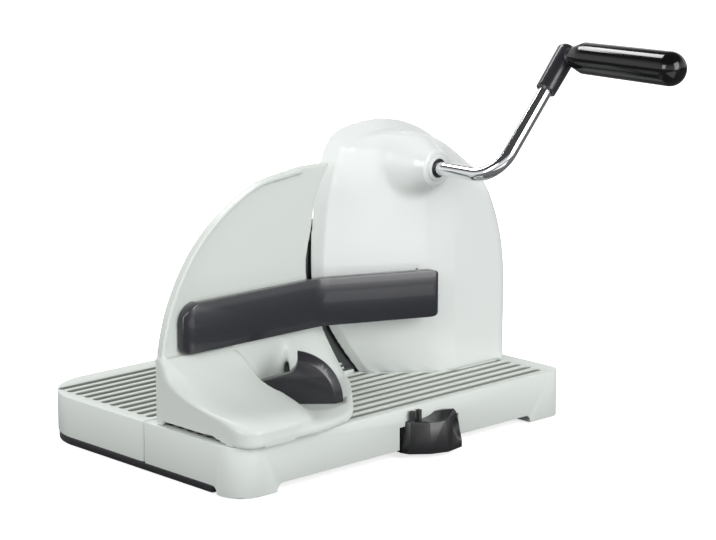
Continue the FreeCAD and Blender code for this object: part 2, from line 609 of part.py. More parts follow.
def make_bearing_plate():
    """Closes the back of the housing and carries the shafts' far ends."""
    slab = block(0, BEARING_FRONT, TRAY_TOP, BASE_LENGTH + 20, HOUSING_BACK, 260)
    plate = housing_form(WALL + 0.2).common(slab)
    plate = plate.cut(rod_y(BLADE_X, BLADE_Z, 0, HOUSING_BACK + 1, BUSH_RADIUS))
    plate = plate.cut(rod_y(CRANK_X, CRANK_Z, 0, HOUSING_BACK + 1, BUSH_RADIUS))
    plate = plate.cut(rod_y(BLADE_X, IDLER_Z, 0, HOUSING_BACK + 1, IDLER_PIN_RADIUS))
    for x, z in BEARING_POSTS:
        plate = plate.cut(rod_y(x, z, 0, HOUSING_BACK + 1, 1.8))
        plate = plate.cut(rod_y(x, z, HOUSING_BACK - 1.6, HOUSING_BACK + 1, 3.4))
    return plate


def make_bearing_screws():
    screws = []
    for x, z in BEARING_POSTS:
        head = rod_y(x, z, HOUSING_BACK - 1.6, HOUSING_BACK, 3.2)
        screws.append(head.fuse(rod_y(x, z, HOUSING_BACK - 9, HOUSING_BACK - 1.6, 1.4)))
    return Part.makeCompound(screws)


def make_housing_screws():
    screws = []
    for x, y in HOUSING_BOSSES:
        head = rod_z(x, y, TRAY_FLOOR - 2.5, TRAY_FLOOR, 4)
        screws.append(head.fuse(rod_z(x, y, TRAY_FLOOR, TRAY_TOP + 11, 1.4)))
    return Part.makeCompound(screws)


def bush(x, z, y0, y1, radius, flange=None):
    ring = rod_y(x, z, y0, y1, radius)
    if flange:
        ring = ring.fuse(rod_y(x, z, flange[0], flange[1], flange[2]))
    return ring.cut(rod_y(x, z, y0 - 20, y1 + 20, SHAFT_RADIUS + RUNNING_FIT))


def make_crank_bush():
    return bush(CRANK_X, CRANK_Z, HUB_FACE, GEAR_FRONT - 2, BUSH_RADIUS,
                (HUB_FACE - 1.5, HUB_FACE, BUSH_RADIUS + 0.8))


def make_crank_rear_bush():
    return bush(CRANK_X, CRANK_Z, BEARING_FRONT - 1.5, HOUSING_BACK, BUSH_RADIUS)


def make_blade_bush():
    return bush(BLADE_X, BLADE_Z, HOUSING_FRONT + 9, GEAR_FRONT - 2, BUSH_RADIUS)


def make_blade_rear_bush():
    return bush(BLADE_X, BLADE_Z, BEARING_FRONT - 1.5, HOUSING_BACK + 0.5, BUSH_RADIUS)


# ---- gears and blade ----------------------------------------------------------------------

def involute_point(base, radius, start):
    """A point of the involute of the base circle at a radius, turned by start."""
    roll = math.sqrt(max((radius / base) ** 2 - 1, 0))
    angle = start + roll - math.atan(roll)
    return radius, angle


def gear_wire(teeth, y, x, z, phase):
    """The outline of an involute spur gear, thinned by half the backlash on each flank."""
    pitch = GEAR_MODULE * teeth / 2
    base = pitch * math.cos(math.radians(20))
    tip = pitch + GEAR_MODULE * 0.95
    root = pitch - GEAR_MODULE * 1.25
    roll = math.tan(math.radians(20)) - math.radians(20)
    half = math.pi / (2 * teeth) + roll - GEAR_BACKLASH / (2 * pitch)
    low = max(base, root + 0.2)
    radii = [low + (tip - low) * i / 3 for i in range(4)]
    flank = [involute_point(base, radius, -half) for radius in radii]
    points = []
    for tooth in range(teeth):
        turn = phase + 2 * math.pi * tooth / teeth
        tooth_side = [(root, flank[0][1])] + flank
        for radius, angle in tooth_side:
            points.append((radius, turn + angle))
        for radius, angle in reversed(tooth_side):
            points.append((radius, turn - angle))
    corners = [at(x + radius * math.cos(a), y, z + radius * math.sin(a)) for radius, a in points]
    return Part.makePolygon(corners + [corners[0]])


def gear(teeth, x, z, phase):
    face = Part.Face(gear_wire(teeth, GEAR_FRONT, x, z, phase))
    return face.extrude(V(0, GEAR_WIDTH, 0))


UP = math.pi / 2


def make_blade_gear():
    """The large gear on the blade shaft, with a gap of its teeth at the top."""
    wheel = gear(WHEEL_TEETH, BLADE_X, BLADE_Z, UP + math.pi / WHEEL_TEETH)
    recess = rod_y(BLADE_X, BLADE_Z, GEAR_FRONT - 1, GEAR_FRONT + 2.5, WHEEL_RADIUS - 6)
    recess = recess.cut(rod_y(BLADE_X, BLADE_Z, GEAR_FRONT - 2, GEAR_FRONT + 3, BUSH_RADIUS + 1))
    wheel = wheel.cut(recess)
    return wheel.cut(rod_y(BLADE_X, BLADE_Z, GEAR_FRONT - 1, GEAR_BACK + 1, SHAFT_RADIUS))


def make_idler_gear():
    """Turns freely on its pin, with teeth straight up and straight down."""
    idler = gear(IDLER_TEETH, BLADE_X, IDLER_Z, UP)
    bore = rod_y(BLADE_X, IDLER_Z, GEAR_FRONT - 1, GEAR_BACK + 1, IDLER_PIN_RADIUS + RUNNING_FIT)
    return idler.cut(bore)


def make_idler_pin():
    return rod_y(BLADE_X, IDLER_Z, HOUSING_FRONT + 12, HOUSING_BACK, IDLER_PIN_RADIUS)


def make_crank_pinion():
    pinion = gear(PINION_TEETH, CRANK_X, CRANK_Z, -UP + math.pi / PINION_TEETH)
    return pinion.cut(rod_y(CRANK_X, CRANK_Z, GEAR_FRONT - 1, GEAR_BACK + 1, SHAFT_RADIUS))


def make_blade():
    """A thin disc with a ground bevel and scalloped teeth all round."""
    far = BLADE_NEAR + BLADE_THICKNESS
    inner = BLADE_RADIUS - BLADE_GROUND
    disc = rod_y(BLADE_X, BLADE_Z, BLADE_NEAR, far, inner)
    bevel = rod_y(BLADE_X, BLADE_Z, BLADE_NEAR, far, inner, BLADE_RADIUS)
    disc = disc.fuse(bevel)
    for i in range(BLADE_TEETH):
        angle = 2 * math.pi * i / BLADE_TEETH
        reach = BLADE_RADIUS + 4.2
        scallop = rod_y(BLADE_X + reach * math.cos(angle), BLADE_Z + reach * math.sin(angle),
                        BLADE_NEAR - 1, far + 1, 6.6)
        disc = disc.cut(scallop)
    return disc.cut(rod_y(BLADE_X, BLADE_Z, BLADE_NEAR - 1, far + 1, 2.2))


def make_blade_shaft():
    """The shaft, with the flange that the blade is clamped against."""
    shaft = rod_y(BLADE_X, BLADE_Z, HOUSING_FRONT + 9.5, BLADE_NEAR, SHAFT_RADIUS)
    shaft = shaft.fuse(rod_y(BLADE_X, BLADE_Z, HOUSING_BACK + 0.8, BLADE_NEAR,
                             FLANGE_RADIUS))
    return shaft.cut(rod_y(BLADE_X, BLADE_Z, BLADE_NEAR - 16, BLADE_NEAR + 1, 2))


def make_blade_screw():
    far = BLADE_NEAR + BLADE_THICKNESS
    screw = rod_y(BLADE_X, BLADE_Z, BLADE_NEAR - 14, far, 1.9)
    head = rod_y(BLADE_X, BLADE_Z, far, far + 2.2, 8, 6)
    slot = block(BLADE_X - 9, far + 1.2, BLADE_Z - 0.7, BLADE_X + 9, far + 3, BLADE_Z + 0.7)
    return screw.fuse(head).cut(slot)


# ---- crank --------------------------------------------------------------------------------

def arm_point(distance, y):
    """A point on the crank arm's line, this far from the crank axis."""
    angle = math.radians(CRANK_ANGLE)
    return at(CRANK_X + distance * math.cos(angle), y, CRANK_Z + distance * math.sin(angle))


def make_crank_rod():
    """One bent rod: the shaft, a bend, and the arm."""
    start = at(CRANK_X, HOUSING_BACK - 0.5, CRANK_Z)
    bend_start = at(CRANK_X, CRANK_PLANE + CRANK_BEND, CRANK_Z)
    bend_end = arm_point(CRANK_BEND, CRANK_PLANE)
    slack = CRANK_BEND * (1 - math.sqrt(0.5))
    middle = arm_point(slack, CRANK_PLANE + slack)
    end = arm_point(CRANK_THROW + SOCKET_OVER - 16, CRANK_PLANE)
    path = Part.Wire([Part.LineSegment(start, bend_start).toShape(),
                      Part.Arc(bend_start, middle, bend_end).toShape(),
                      Part.LineSegment(bend_end, end).toShape()])
    section = Part.Wire([Part.makeCircle(SHAFT_RADIUS, start, V(0, 1, 0))])
    return path.makePipeShell([section], True, False)


def make_crank_socket():
    """The moulded socket that joins the rod and the grip pin."""
    angle = math.radians(CRANK_ANGLE)
    along = V(math.cos(angle), 0, math.sin(angle))
    low = CRANK_THROW + SOCKET_OVER - SOCKET_LENGTH
    body = Part.makeCone(SOCKET_RADIUS - 0.6, SOCKET_RADIUS, SOCKET_LENGTH - 3,
                         arm_point(low, CRANK_PLANE), along)
    cap = Part.makeCone(SOCKET_RADIUS, SOCKET_RADIUS - 2.5, 3,
                        arm_point(low + SOCKET_LENGTH - 3, CRANK_PLANE), along)
    body = body.fuse(cap)
    pin_x = CRANK_X + CRANK_THROW * math.cos(angle)
    pin_z = CRANK_Z + CRANK_THROW * math.sin(angle)
    face = CRANK_PLANE - SOCKET_RADIUS - 1
    body = body.fuse(rod_y(pin_x, pin_z, face, CRANK_PLANE, 7))
    body = body.cut(Part.makeCylinder(SHAFT_RADIUS, SOCKET_LENGTH - 16,
                                      arm_point(low, CRANK_PLANE), along))
    return body.cut(rod_y(pin_x, pin_z, face - 1, CRANK_PLANE + 3, GRIP_PIN_RADIUS))


def grip_axis():
    angle = math.radians(CRANK_ANGLE)
    return CRANK_X + CRANK_THROW * math.cos(angle), CRANK_Z + CRANK_THROW * math.sin(angle)


def make_grip_pin():
    x, z = grip_axis()
    face = CRANK_PLANE - SOCKET_RADIUS - 1
    return rod_y(x, z, face - GRIP_LENGTH + 10, CRANK_PLANE + 3, GRIP_PIN_RADIUS)


def make_crank_grip():
    """A turned grip: necked at the crank end, swelling a little, with a rounded end."""
    x, z = grip_axis()
    start = CRANK_PLANE - SOCKET_RADIUS - 1 - GRIP_GAP
    end = start - GRIP_LENGTH
    neck = Part.makeCone(GRIP_NECK, GRIP_RADIUS - 0.9, 9, at(x, start, z), V(0, -1, 0))
    body = Part.makeCone(GRIP_RADIUS - 0.9, GRIP_RADIUS, GRIP_LENGTH - 9, at(x, start - 9, z),
                         V(0, -1, 0))
    rim = [edge for edge in body.Edges if abs(edge.CenterOfMass.y - at(x, end, z).y) < FINE]
    grip = body.makeFillet(GRIP_RADIUS - 1.0, rim).fuse(neck)
    bore = rod_y(x, z, start - GRIP_LENGTH + 10, start + 1, GRIP_PIN_RADIUS + RUNNING_FIT)
    return grip.cut(bore)


# ---- stop plate ---------------------------------------------------------------------------

def plate_edge(z):
    """x of the hollow edge that faces the blade, at a height."""
    if z < LOWER_EDGE_TOP:
        rise = z - LOWER_EDGE_Z
        return BLADE_X + LOWER_EDGE_X - math.sqrt(LOWER_EDGE_RADIUS ** 2 - rise ** 2)
    rise = z - PLATE_EDGE_Z
    return BLADE_X + PLATE_EDGE_X - math.sqrt(PLATE_EDGE_RADIUS ** 2 - rise ** 2)


def plate_outer(z):
    """x of the bowed outer edge, at a height."""
    radius = 132.0
    centre_x = PLATE_LEFT + radius
    drop = max(z - 66.0, 0)
    return centre_x - math.sqrt(radius ** 2 - drop ** 2)


def plate_wire(y, inset):
    """The D-shaped outline of the stop plate."""
    low = BOOT_BOTTOM + inset
    crown = PLATE_CROWN - inset
    left = [at(plate_outer(66) + inset, y, 66)]
    for z in (100, 140, 170, 188):
        left.append(at(plate_outer(z) + inset * 0.9, y, z - inset * 0.3))
    left.append(at(133 + inset * 0.3, y, crown))
    bow = Part.BSplineCurve()
    bow.interpolate(left, InitialTangent=V(0, 0, 1), FinalTangent=V(1, 0, 0.12))
    top_right = at(plate_edge(crown) - CORNER_TRIM - inset, y, crown)
    turn = LOWER_EDGE_TOP
    halfway = (low + turn) / 2
    hollow = [at(plate_edge(z) - inset, y, z) for z in (PLATE_EDGE_Z + 12, turn, halfway, low)]
    low_left = at(plate_outer(66) + inset, y, low)
    edges = [Part.LineSegment(low_left, left[0]).toShape(), bow.toShape(),
             Part.LineSegment(left[-1], top_right).toShape(),
             Part.Arc(top_right, hollow[0], hollow[1]).toShape(),
             Part.Arc(hollow[1], hollow[2], hollow[3]).toShape(),
             Part.LineSegment(hollow[3], low_left).toShape()]
    return Part.Wire(edges)


def boot_section(level, lift, inset):
    """A plan section of the boot at one of its levels, lifted, and drawn in by the inset."""
    z, near_left, near_right = level
    far = STOP_FACE
    left = PLATE_LEFT + inset
    right = min(plate_edge(z), BLADE_X + BOOT_RIGHT) - inset
    width = right - left
    near = near_left + inset
    depth = far - near_right - inset
    corner = min(BOOT_CORNER, (far - near) * 0.7)
    z += lift
    elbow = left + width * BOOT_ELBOW
    points = [at(elbow, near, z)]
    for along, back in BOOT_BEND:
        points.append(at(left + width * along, near_right + inset + depth * back, z))
    points.append(at(right, far, z))
    curve = Part.BSplineCurve()
    curve.interpolate(points, InitialTangent=V(1, 0, 0), FinalTangent=V(0.5, 1, 0))
    side_end = at(left, near + corner, z)
    turn_end = at(left + corner, near, z)
    slack = corner * (1 - math.sqrt(0.5))
    turn = Part.Arc(side_end, at(left + slack, near + slack, z), turn_end)
    return Part.Wire([Part.LineSegment(at(left, far, z), side_end).toShape(), turn.toShape(),
                      Part.LineSegment(turn_end, points[0]).toShape(), curve.toShape(),
                      Part.LineSegment(points[-1], at(left, far, z)).toShape()])


def boot_form(inset):
    """The flared foot of the stop plate, or its hollow, open below, when inset is the wall."""
    lip = BOOT_LEVELS[0]
    foot = Part.Face(boot_section(lip, BOOT_BOTTOM - lip[0] - (1 if inset else 0), inset))
    height = lip[0] - inset - foot.BoundBox.ZMin
    flare = Part.makeLoft([boot_section(level, -inset, inset) for level in BOOT_LEVELS], True, False)
    return foot.extrude(V(0, 0, height)).fuse(flare)


def lever_sector(radius, start, sweep, z0, z1):
    """A sector about the lever pin, from a heading in degrees."""
    sector = Part.makeCylinder(radius, z1 - z0, at(LEVER_PIN_X, LEVER_Y, z0), V(0, 0, 1), sweep)
    sector.rotate(at(LEVER_PIN_X, LEVER_Y, 0), V(0, 0, 1), start)
    return sector


def pocket_form(grow, floor):
    """The hollow that the lever turns in, open at the top, or its lining when grow is the wall."""
    radius = LEVER_RADIUS + POCKET_GAP + grow
    pocket = lever_sector(radius, LEVER_ANGLE - POCKET_SWEEP, POCKET_SWEEP, floor, 120)
    half = LEVER_THICKNESS / 2 + LEVER_GAP + grow
    slot = block(LEVER_PIN_X, LEVER_Y - half, floor, LEVER_PIN_X + radius, LEVER_Y + half, 120)
    slot.rotate(at(LEVER_PIN_X, LEVER_Y, 0), V(0, 0, 1), LEVER_ANGLE)
    wall_side = block(LEVER_PIN_X - POCKET_LEFT - grow, LEVER_Y - POCKET_NEAR - grow, floor,
                      LEVER_PIN_X, LEVER_Y + half, 120)
    points = [at(LEVER_PIN_X + r + grow, LEVER_Y, z + floor - LEVER_FLOOR) for r, z in SCOOP]
    curve = Part.BSplineCurve()
    curve.interpolate(points[1:])
    top = at(LEVER_PIN_X, LEVER_Y, points[-1].z + 10)
    corners = [points[-1], points[-1] + V(0, 0, 10), top, at(LEVER_PIN_X, LEVER_Y, floor), points[0],
               points[1]]
    edges = [Part.LineSegment(corners[i], corners[i + 1]).toShape() for i in range(5)]
    face = Part.Face(Part.Wire([curve.toShape()] + edges))
    scoop = face.revolve(at(LEVER_PIN_X, LEVER_Y, 0), V(0, 0, 1), SCOOP_SWEEP)
    scoop.rotate(at(LEVER_PIN_X, LEVER_Y, 0), V(0, 0, 1), SCOOP_START)
    hub = rod_z(LEVER_PIN_X, LEVER_Y, floor, 120, POCKET_HUB + grow)
    return pocket.fuse(slot).fuse(wall_side).fuse(hub).fuse(scoop)


def make_stop_plate():
    face = Part.Face(plate_wire(PLATE_NEAR, 0))
    plate = face.extrude(V(0, PLATE_THICKNESS, 0))
    rim = Part.Face(plate_wire(STOP_FACE - PLATE_RIM, 0)).extrude(V(0, PLATE_RIM, 0))
    inner = Part.Face(plate_wire(STOP_FACE - PLATE_RIM - 1, 4.0)).extrude(V(0, PLATE_RIM + 1, 0))
    right_side = block(plate_edge(PLATE_EDGE_Z) - 4.5, -20, 0, BASE_LENGTH, STOP_FACE + 1, 250)
    plate = plate.fuse(rim.cut(inner).cut(right_side))
    outside = boot_form(0)
    keep_hollow = block(-50, -50, 0, BASE_LENGTH, PLATE_NEAR, BOOT_TOP - 8)
    plate = plate.fuse(outside).cut(boot_form(WALL).common(keep_hollow))
    inside = [pocket_form(WALL, BOOT_BOTTOM)]
    for x in ROD_PLACES:
        inside.append(rod_z(x, SLIDE_Y, BOOT_BOTTOM, BOOT_TOP, 6.5))
    for piece in inside:
        plate = plate.fuse(piece.common(outside))
    reach = block(-50, -50, 0, BASE_LENGTH, PLATE_NEAR - 3, 130)
    plate = plate.cut(pocket_form(0, LEVER_FLOOR).common(reach))
    plate = plate.cut(rod_z(LEVER_PIN_X, LEVER_Y, BOOT_BOTTOM - 1, LEVER_FLOOR + 1, LEVER_PIN_RADIUS))
    relief_end = PLATE_NEAR - 4
    relief = [(BOOT_CORNER, BOOT_BOTTOM - 1, 0), (relief_end, BOOT_BOTTOM - 1, 0),
              (relief_end, BOOT_BOTTOM + RELIEF_HEIGHT, 1), (30, BOOT_BOTTOM + RELIEF_HEIGHT, 8),
              (BOOT_CORNER, BOOT_BOTTOM, 0)]
    plate = plate.cut(side_prism(relief, PLATE_LEFT - 1, PLATE_LEFT + WALL))
    for x in ROD_PLACES:
        plate = plate.cut(rod_z(x, SLIDE_Y, BOOT_BOTTOM - 1, SLIDE_SCREW_TOP + 1, SCREW_HOLE_RADIUS))
    for x in bar_screw_places():
        plate = plate.cut(rod_y(x, (BAR_BOTTOM + BAR_TOP) / 2, 0, 200, 2.0))
    return plate


def bar_screw_places():
    return BAR_LEFT + 24.0, BLADE_X + BAR_BEND - 20.0


def make_guide_bar():
    """A tall flat bar: its left end turns back to the plate, its right end stands clear of it."""
    back = BAR_BACK
    front = back - BAR_THICKNESS
    bend = BLADE_X + BAR_BEND
    end = back - BAR_SWEEP + BAR_THICKNESS
    turn = math.atan2(back - end, BAR_RIGHT - bend)
    across = V(math.sin(turn), math.cos(turn), 0) * BAR_THICKNESS
    inside = BAR_LEFT + BAR_RETURN
    far = [(BAR_LEFT, PLATE_NEAR, 0), (inside, PLATE_NEAR, 0), (inside, back, 1), (bend, back, 40),
           (BAR_RIGHT, end, 3)]
    near = [(BAR_RIGHT - across.x, end - across.y, 3),
            (bend - BAR_THICKNESS * math.tan(turn / 2), front, 32), (BAR_LEFT, front, 8.5)]
    strip = plan_prism(far + near, BAR_BOTTOM, BAR_TOP)
    shape = front_prism([(BAR_LEFT, BAR_BOTTOM, 5), (BAR_RIGHT, BAR_BOTTOM, 8),
                         (BAR_RIGHT, BAR_TOP, 8), (BAR_LEFT, BAR_TOP, 15)], -50, 150)
    bar = strip.common(shape)
    middle = (BAR_BOTTOM + BAR_TOP) / 2
    for x in bar_screw_places():
        bar = bar.fuse(rod_y(x, middle, back - 1, PLATE_NEAR, 5))
        bar = bar.cut(rod_y(x, middle, back - 5, STOP_FACE, 1.5))
    return bar


def make_bar_screws():
    screws = []
    middle = (BAR_BOTTOM + BAR_TOP) / 2
    for x in bar_screw_places():
        screws.append(rod_y(x, middle, BAR_BACK - 4, STOP_FACE - 0.4, SCREW_RADIUS))
    return Part.makeCompound(screws)


def make_slide_blocks():
    """The blocks that run on the rods, each with a neck up through its slot in the tray."""
    blocks = []
    near = SLIDE_Y - SLIDE_LENGTH / 2
    far = SLIDE_Y + SLIDE_LENGTH / 2
    neck_near = SLIDE_Y - NECK_LENGTH / 2
    neck_far = SLIDE_Y + NECK_LENGTH / 2
    half = NECK_WIDTH / 2
    for x in ROD_PLACES:
        slider = block(x - SLIDE_WIDTH / 2, near, ROD_HEIGHT - ROD_RADIUS - 2.5,
                       x + SLIDE_WIDTH / 2, far, TRAY_FLOOR - SLOT_GAP)
        corners = box_corners(x - half, neck_near, x + half, neck_far, half - FINE)
        slider = slider.fuse(plan_prism(corners, TRAY_FLOOR - 1, BOOT_BOTTOM))
        slider = slider.cut(rod_y(x, ROD_HEIGHT, near - 1, far + 1, ROD_RADIUS + RUNNING_FIT))
        hole = rod_z(x, SLIDE_Y, ROD_HEIGHT + ROD_RADIUS + 0.7, BOOT_BOTTOM + 1, SCREW_HOLE_RADIUS)
        blocks.append(slider.cut(hole))
    return Part.makeCompound(blocks)


def make_slide_screws():
    screws = []
    for x in ROD_PLACES:
        screws.append(rod_z(x, SLIDE_Y, ROD_HEIGHT + ROD_RADIUS + 1, SLIDE_SCREW_TOP, SCREW_RADIUS))
    return Part.makeCompound(screws)


def make_thickness_lever():
    """A quarter-disc thumb blade with a low tail, which stands up from its pin."""
    low = LEVER_FLOOR + 0.4
    near = LEVER_Y - LEVER_THICKNESS / 2
    far = near + LEVER_THICKNESS
    shoulder = near + LEVER_THICKNESS * 0.6
    disc = rod_y(LEVER_PIN_X, low, shoulder, far, LEVER_RADIUS)
    disc = disc.fuse(rod_y(LEVER_PIN_X, low, near, shoulder, LEVER_RADIUS - LEVER_CHAMFER,
                           LEVER_RADIUS))
    over = low + LEVER_RADIUS + 1
    tail = LEVER_PIN_X - LEVER_TAIL
    thumb = LEVER_PIN_X + 5
    side = LEVER_PIN_X + LEVER_RADIUS + 1
    profile = [(tail, LEVER_TAIL_TOP, 0.6), (thumb, LEVER_THUMB, LEVER_THUMB_RADIUS),
               (thumb, over, 0), (side, over, 0), (side, low, 0), (LEVER_PIN_X - 4, low, 2),
               (tail, LEVER_TAIL_BOTTOM, 0.6)]
    blade = disc.common(front_prism(profile, near, far))
    blade = blade.cut(rod_z(LEVER_PIN_X, LEVER_Y, LEVER_FLOOR, LEVER_FLOOR + 16,
                            LEVER_PIN_RADIUS + RUNNING_FIT))
    blade.rotate(at(LEVER_PIN_X, LEVER_Y, 0), V(0, 0, 1), LEVER_ANGLE)
    return blade


def make_lever_pin():
    return rod_z(LEVER_PIN_X, LEVER_Y, BOOT_BOTTOM, LEVER_FLOOR + 15, LEVER_PIN_RADIUS)


# ---- suction foot -------------------------------------------------------------------------

def make_suction_knob():
    """A thumb knob that turns about an upright pin and shows through the near wall."""
    drum = rod_z(KNOB_AXIS_X, KNOB_Y, KNOB_BOTTOM, KNOB_TOP, KNOB_RADIUS)
    horn = rod_z(KNOB_AXIS_X, KNOB_Y, KNOB_TOP - 1, KNOB_PEAK - 3, KNOB_RADIUS - 1)
    horn = horn.common(block(KNOB_AXIS_X + 9, -40, 0, KNOB_AXIS_X + 24, KNOB_Y - 12, 60))
    drum = drum.fuse(horn)
    drum = drum.cut(rod_y(KNOB_AXIS_X - 1, KNOB_TOP + 4, -40, KNOB_Y - 9, 9))
    for x in (KNOB_AXIS_X - 19.5, KNOB_AXIS_X - 13.5):
        prong = block(x, -8.0, KNOB_TOP - 2, x + 3.4, -4.5, KNOB_PEAK - 2)
        drum = drum.fuse(prong)
    inner = block(KNOB_AXIS_X - 60, WALL + 9, 0, KNOB_AXIS_X + 60, 60, 60)
    drum = drum.cut(inner)
    drum = drum.fuse(cam_arm())
    return drum.cut(rod_z(KNOB_AXIS_X, KNOB_Y, 0, 60, PIVOT_RADIUS + RUNNING_FIT))


def cam_arm():
    """The flat arm, with a curved slot round the cup's stem, that lifts the stem's collar."""
    start = 90 - KNOB_TRAVEL - CAM_MARGIN
    end = 90 + CAM_MARGIN
    arm = knob_sector(CUP_REACH + 8, start - CAM_MARGIN, end, CAM_BOTTOM, CAM_THICKNESS)
    slot = knob_sector(CUP_REACH + STEM_RADIUS + 1, start, end - CAM_MARGIN / 2, CAM_BOTTOM - 1,
                       CAM_THICKNESS + 2)
    core = knob_sector(CUP_REACH - STEM_RADIUS - 1, 0, 360, CAM_BOTTOM - 1, CAM_THICKNESS + 2)
    return arm.cut(slot.cut(core))


def knob_sector(radius, start, end, z, height):
    """A sector about the knob's axis, between two headings in degrees."""
    sector = Part.makeCylinder(radius, height, at(KNOB_AXIS_X, KNOB_Y, z), V(0, 0, 1), end - start)
    sector.rotate(at(KNOB_AXIS_X, KNOB_Y, 0), V(0, 0, 1), start)
    return sector


def make_knob_pin():
    return rod_z(KNOB_AXIS_X, KNOB_Y, KNOB_BOTTOM, PIVOT_TOP, PIVOT_RADIUS)


def make_suction_cup():
    """A shallow rubber cup, flat on the table."""
    disc = rod_z(KNOB_AXIS_X, CUP_Y, 0, CUP_LIP, CUP_RADIUS)
    cone = Part.makeCone(CUP_RADIUS - 6, 9, STEM_FOOT, at(KNOB_AXIS_X, CUP_Y, CUP_LIP), V(0, 0, 1))
    cup = disc.fuse(cone).fuse(rod_z(KNOB_AXIS_X, CUP_Y, STEM_FOOT, CUP_HUB_TOP, 8))
    hollow = Part.makeCone(CUP_RADIUS - 8, 10, 3, at(KNOB_AXIS_X, CUP_Y, 0), V(0, 0, 1))
    cup = cup.cut(hollow)
    return cup.cut(rod_z(KNOB_AXIS_X, CUP_Y, STEM_FOOT, CUP_HUB_TOP + 1, STEM_RADIUS))


def make_suction_stem():
    """The stem that lifts the cup, with the collar that rides on the cam arm."""
    stem = rod_z(KNOB_AXIS_X, CUP_Y, STEM_FOOT, STEM_TOP, STEM_RADIUS)
    collar = CAM_BOTTOM + CAM_THICKNESS + 0.4
    return stem.fuse(rod_z(KNOB_AXIS_X, CUP_Y, collar, collar + 1.2, STEM_RADIUS + 4))


# ---- all pieces ---------------------------------------------------------------------------

PIECES = {
    "base_tray": make_base_tray,
    "under_plate": make_under_plate,
    "rubber_feet": make_rubber_feet,
    "base_screws": make_base_screws,
    "guide_rail": make_guide_rail,
    "stop_rods": make_stop_rods,
    "gear_housing": make_gear_housing,
    "housing_screws": make_housing_screws,
    "bearing_plate": make_bearing_plate,
    "bearing_screws": make_bearing_screws,
    "crank_bush": make_crank_bush,
    "crank_rear_bush": make_crank_rear_bush,
    "blade_bush": make_blade_bush,
    "blade_rear_bush": make_blade_rear_bush,
    "knob_pin": make_knob_pin,
    "crank_rod": make_crank_rod,
    "crank_pinion": make_crank_pinion,
    "crank_socket": make_crank_socket,
    "grip_pin": make_grip_pin,
    "crank_grip": make_crank_grip,
    "blade": make_blade,
    "blade_gear": make_blade_gear,
    "idler_gear": make_idler_gear,
    "idler_pin": make_idler_pin,
    "blade_shaft": make_blade_shaft,
    "blade_screw": make_blade_screw,
    "carriage_bed": make_carriage_bed,
    "carriage_tray": make_carriage_tray,
    "guide_shoes": make_guide_shoes,
    "shoe_screws": make_shoe_screws,
    "stop_plate": make_stop_plate,
    "guide_bar": make_guide_bar,
    "bar_screws": make_bar_screws,
    "slide_blocks": make_slide_blocks,
    "slide_screws": make_slide_screws,
    "lever_pin": make_lever_pin,
    "thickness_lever": make_thickness_lever,
    "suction_knob": make_suction_knob,
    "suction_cup": make_suction_cup,
    "suction_stem": make_suction_stem,
}

os.makedirs("parts", exist_ok=True)
for name, make in PIECES.items():
    shape = make()
    print(name, len(shape.Solids), round(shape.Volume), shape.isValid())
    shape.exportStep("parts/" + name + ".step")
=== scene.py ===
import json
import math

import bpy
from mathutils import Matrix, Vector

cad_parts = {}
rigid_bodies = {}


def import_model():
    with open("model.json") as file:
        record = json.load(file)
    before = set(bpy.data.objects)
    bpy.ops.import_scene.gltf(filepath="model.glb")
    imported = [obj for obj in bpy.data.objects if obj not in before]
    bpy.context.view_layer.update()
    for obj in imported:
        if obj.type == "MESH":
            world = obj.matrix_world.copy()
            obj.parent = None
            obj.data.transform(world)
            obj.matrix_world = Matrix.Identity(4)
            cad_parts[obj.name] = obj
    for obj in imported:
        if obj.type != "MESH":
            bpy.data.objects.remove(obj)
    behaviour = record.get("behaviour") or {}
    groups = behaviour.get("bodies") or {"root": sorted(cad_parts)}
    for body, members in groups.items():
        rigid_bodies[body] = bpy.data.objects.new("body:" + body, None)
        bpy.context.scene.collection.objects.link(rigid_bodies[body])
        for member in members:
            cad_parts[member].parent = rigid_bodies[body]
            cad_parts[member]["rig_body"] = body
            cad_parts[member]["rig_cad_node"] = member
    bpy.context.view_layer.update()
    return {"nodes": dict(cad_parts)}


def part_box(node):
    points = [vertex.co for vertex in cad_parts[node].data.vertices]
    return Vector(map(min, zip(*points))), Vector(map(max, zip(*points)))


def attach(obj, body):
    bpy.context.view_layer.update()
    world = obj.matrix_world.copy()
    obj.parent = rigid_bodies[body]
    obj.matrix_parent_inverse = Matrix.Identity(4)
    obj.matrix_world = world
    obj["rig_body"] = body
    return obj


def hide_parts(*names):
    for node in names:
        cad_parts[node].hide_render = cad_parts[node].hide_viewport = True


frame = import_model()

# ---- table and light ----------------------------------------------------------------------
# A sweep of painted board that the slicer stands on, inside a white cloth tent that is
# brighter at its sides than overhead. The board looks white, as one lit by itself does, and
# throws little of that light back at the slicer, so that the black plastics stay black.

BOARD_SIZE = 30.0
BOARD_DROP = 0.0002      # the board lies this far under the feet
BOARD_GLOW = 0.72
TENT_TOP = 0.42
TENT_SIDE = 0.92
TENT_GAP = 0.07          # the dark gap in the roof of the tent, which only gloss shows
TENT_EAVES = 0.3         # heights on a sphere of radius 1: the roof and the gap start here,
TENT_ROOF = 0.75         # from here up it is all roof,
GAP_EDGE = 0.6           # and from here up gloss shows nothing but the gap
CARD_GLOW = 1.3
CARD_PLACE = (-0.24, -1.05, 0.001)
CARD_SIZE = (0.72, 1.2, 1.0)


def linear(hex_colour):
    """A colour written as sRGB hex, as the linear values that a shader takes."""
    values = []
    for i in (1, 3, 5):
        share = int(hex_colour[i:i + 2], 16) / 255
        values.append(share / 12.92 if share <= 0.04045 else ((share + 0.055) / 1.055) ** 2.4)
    return (*values, 1.0)


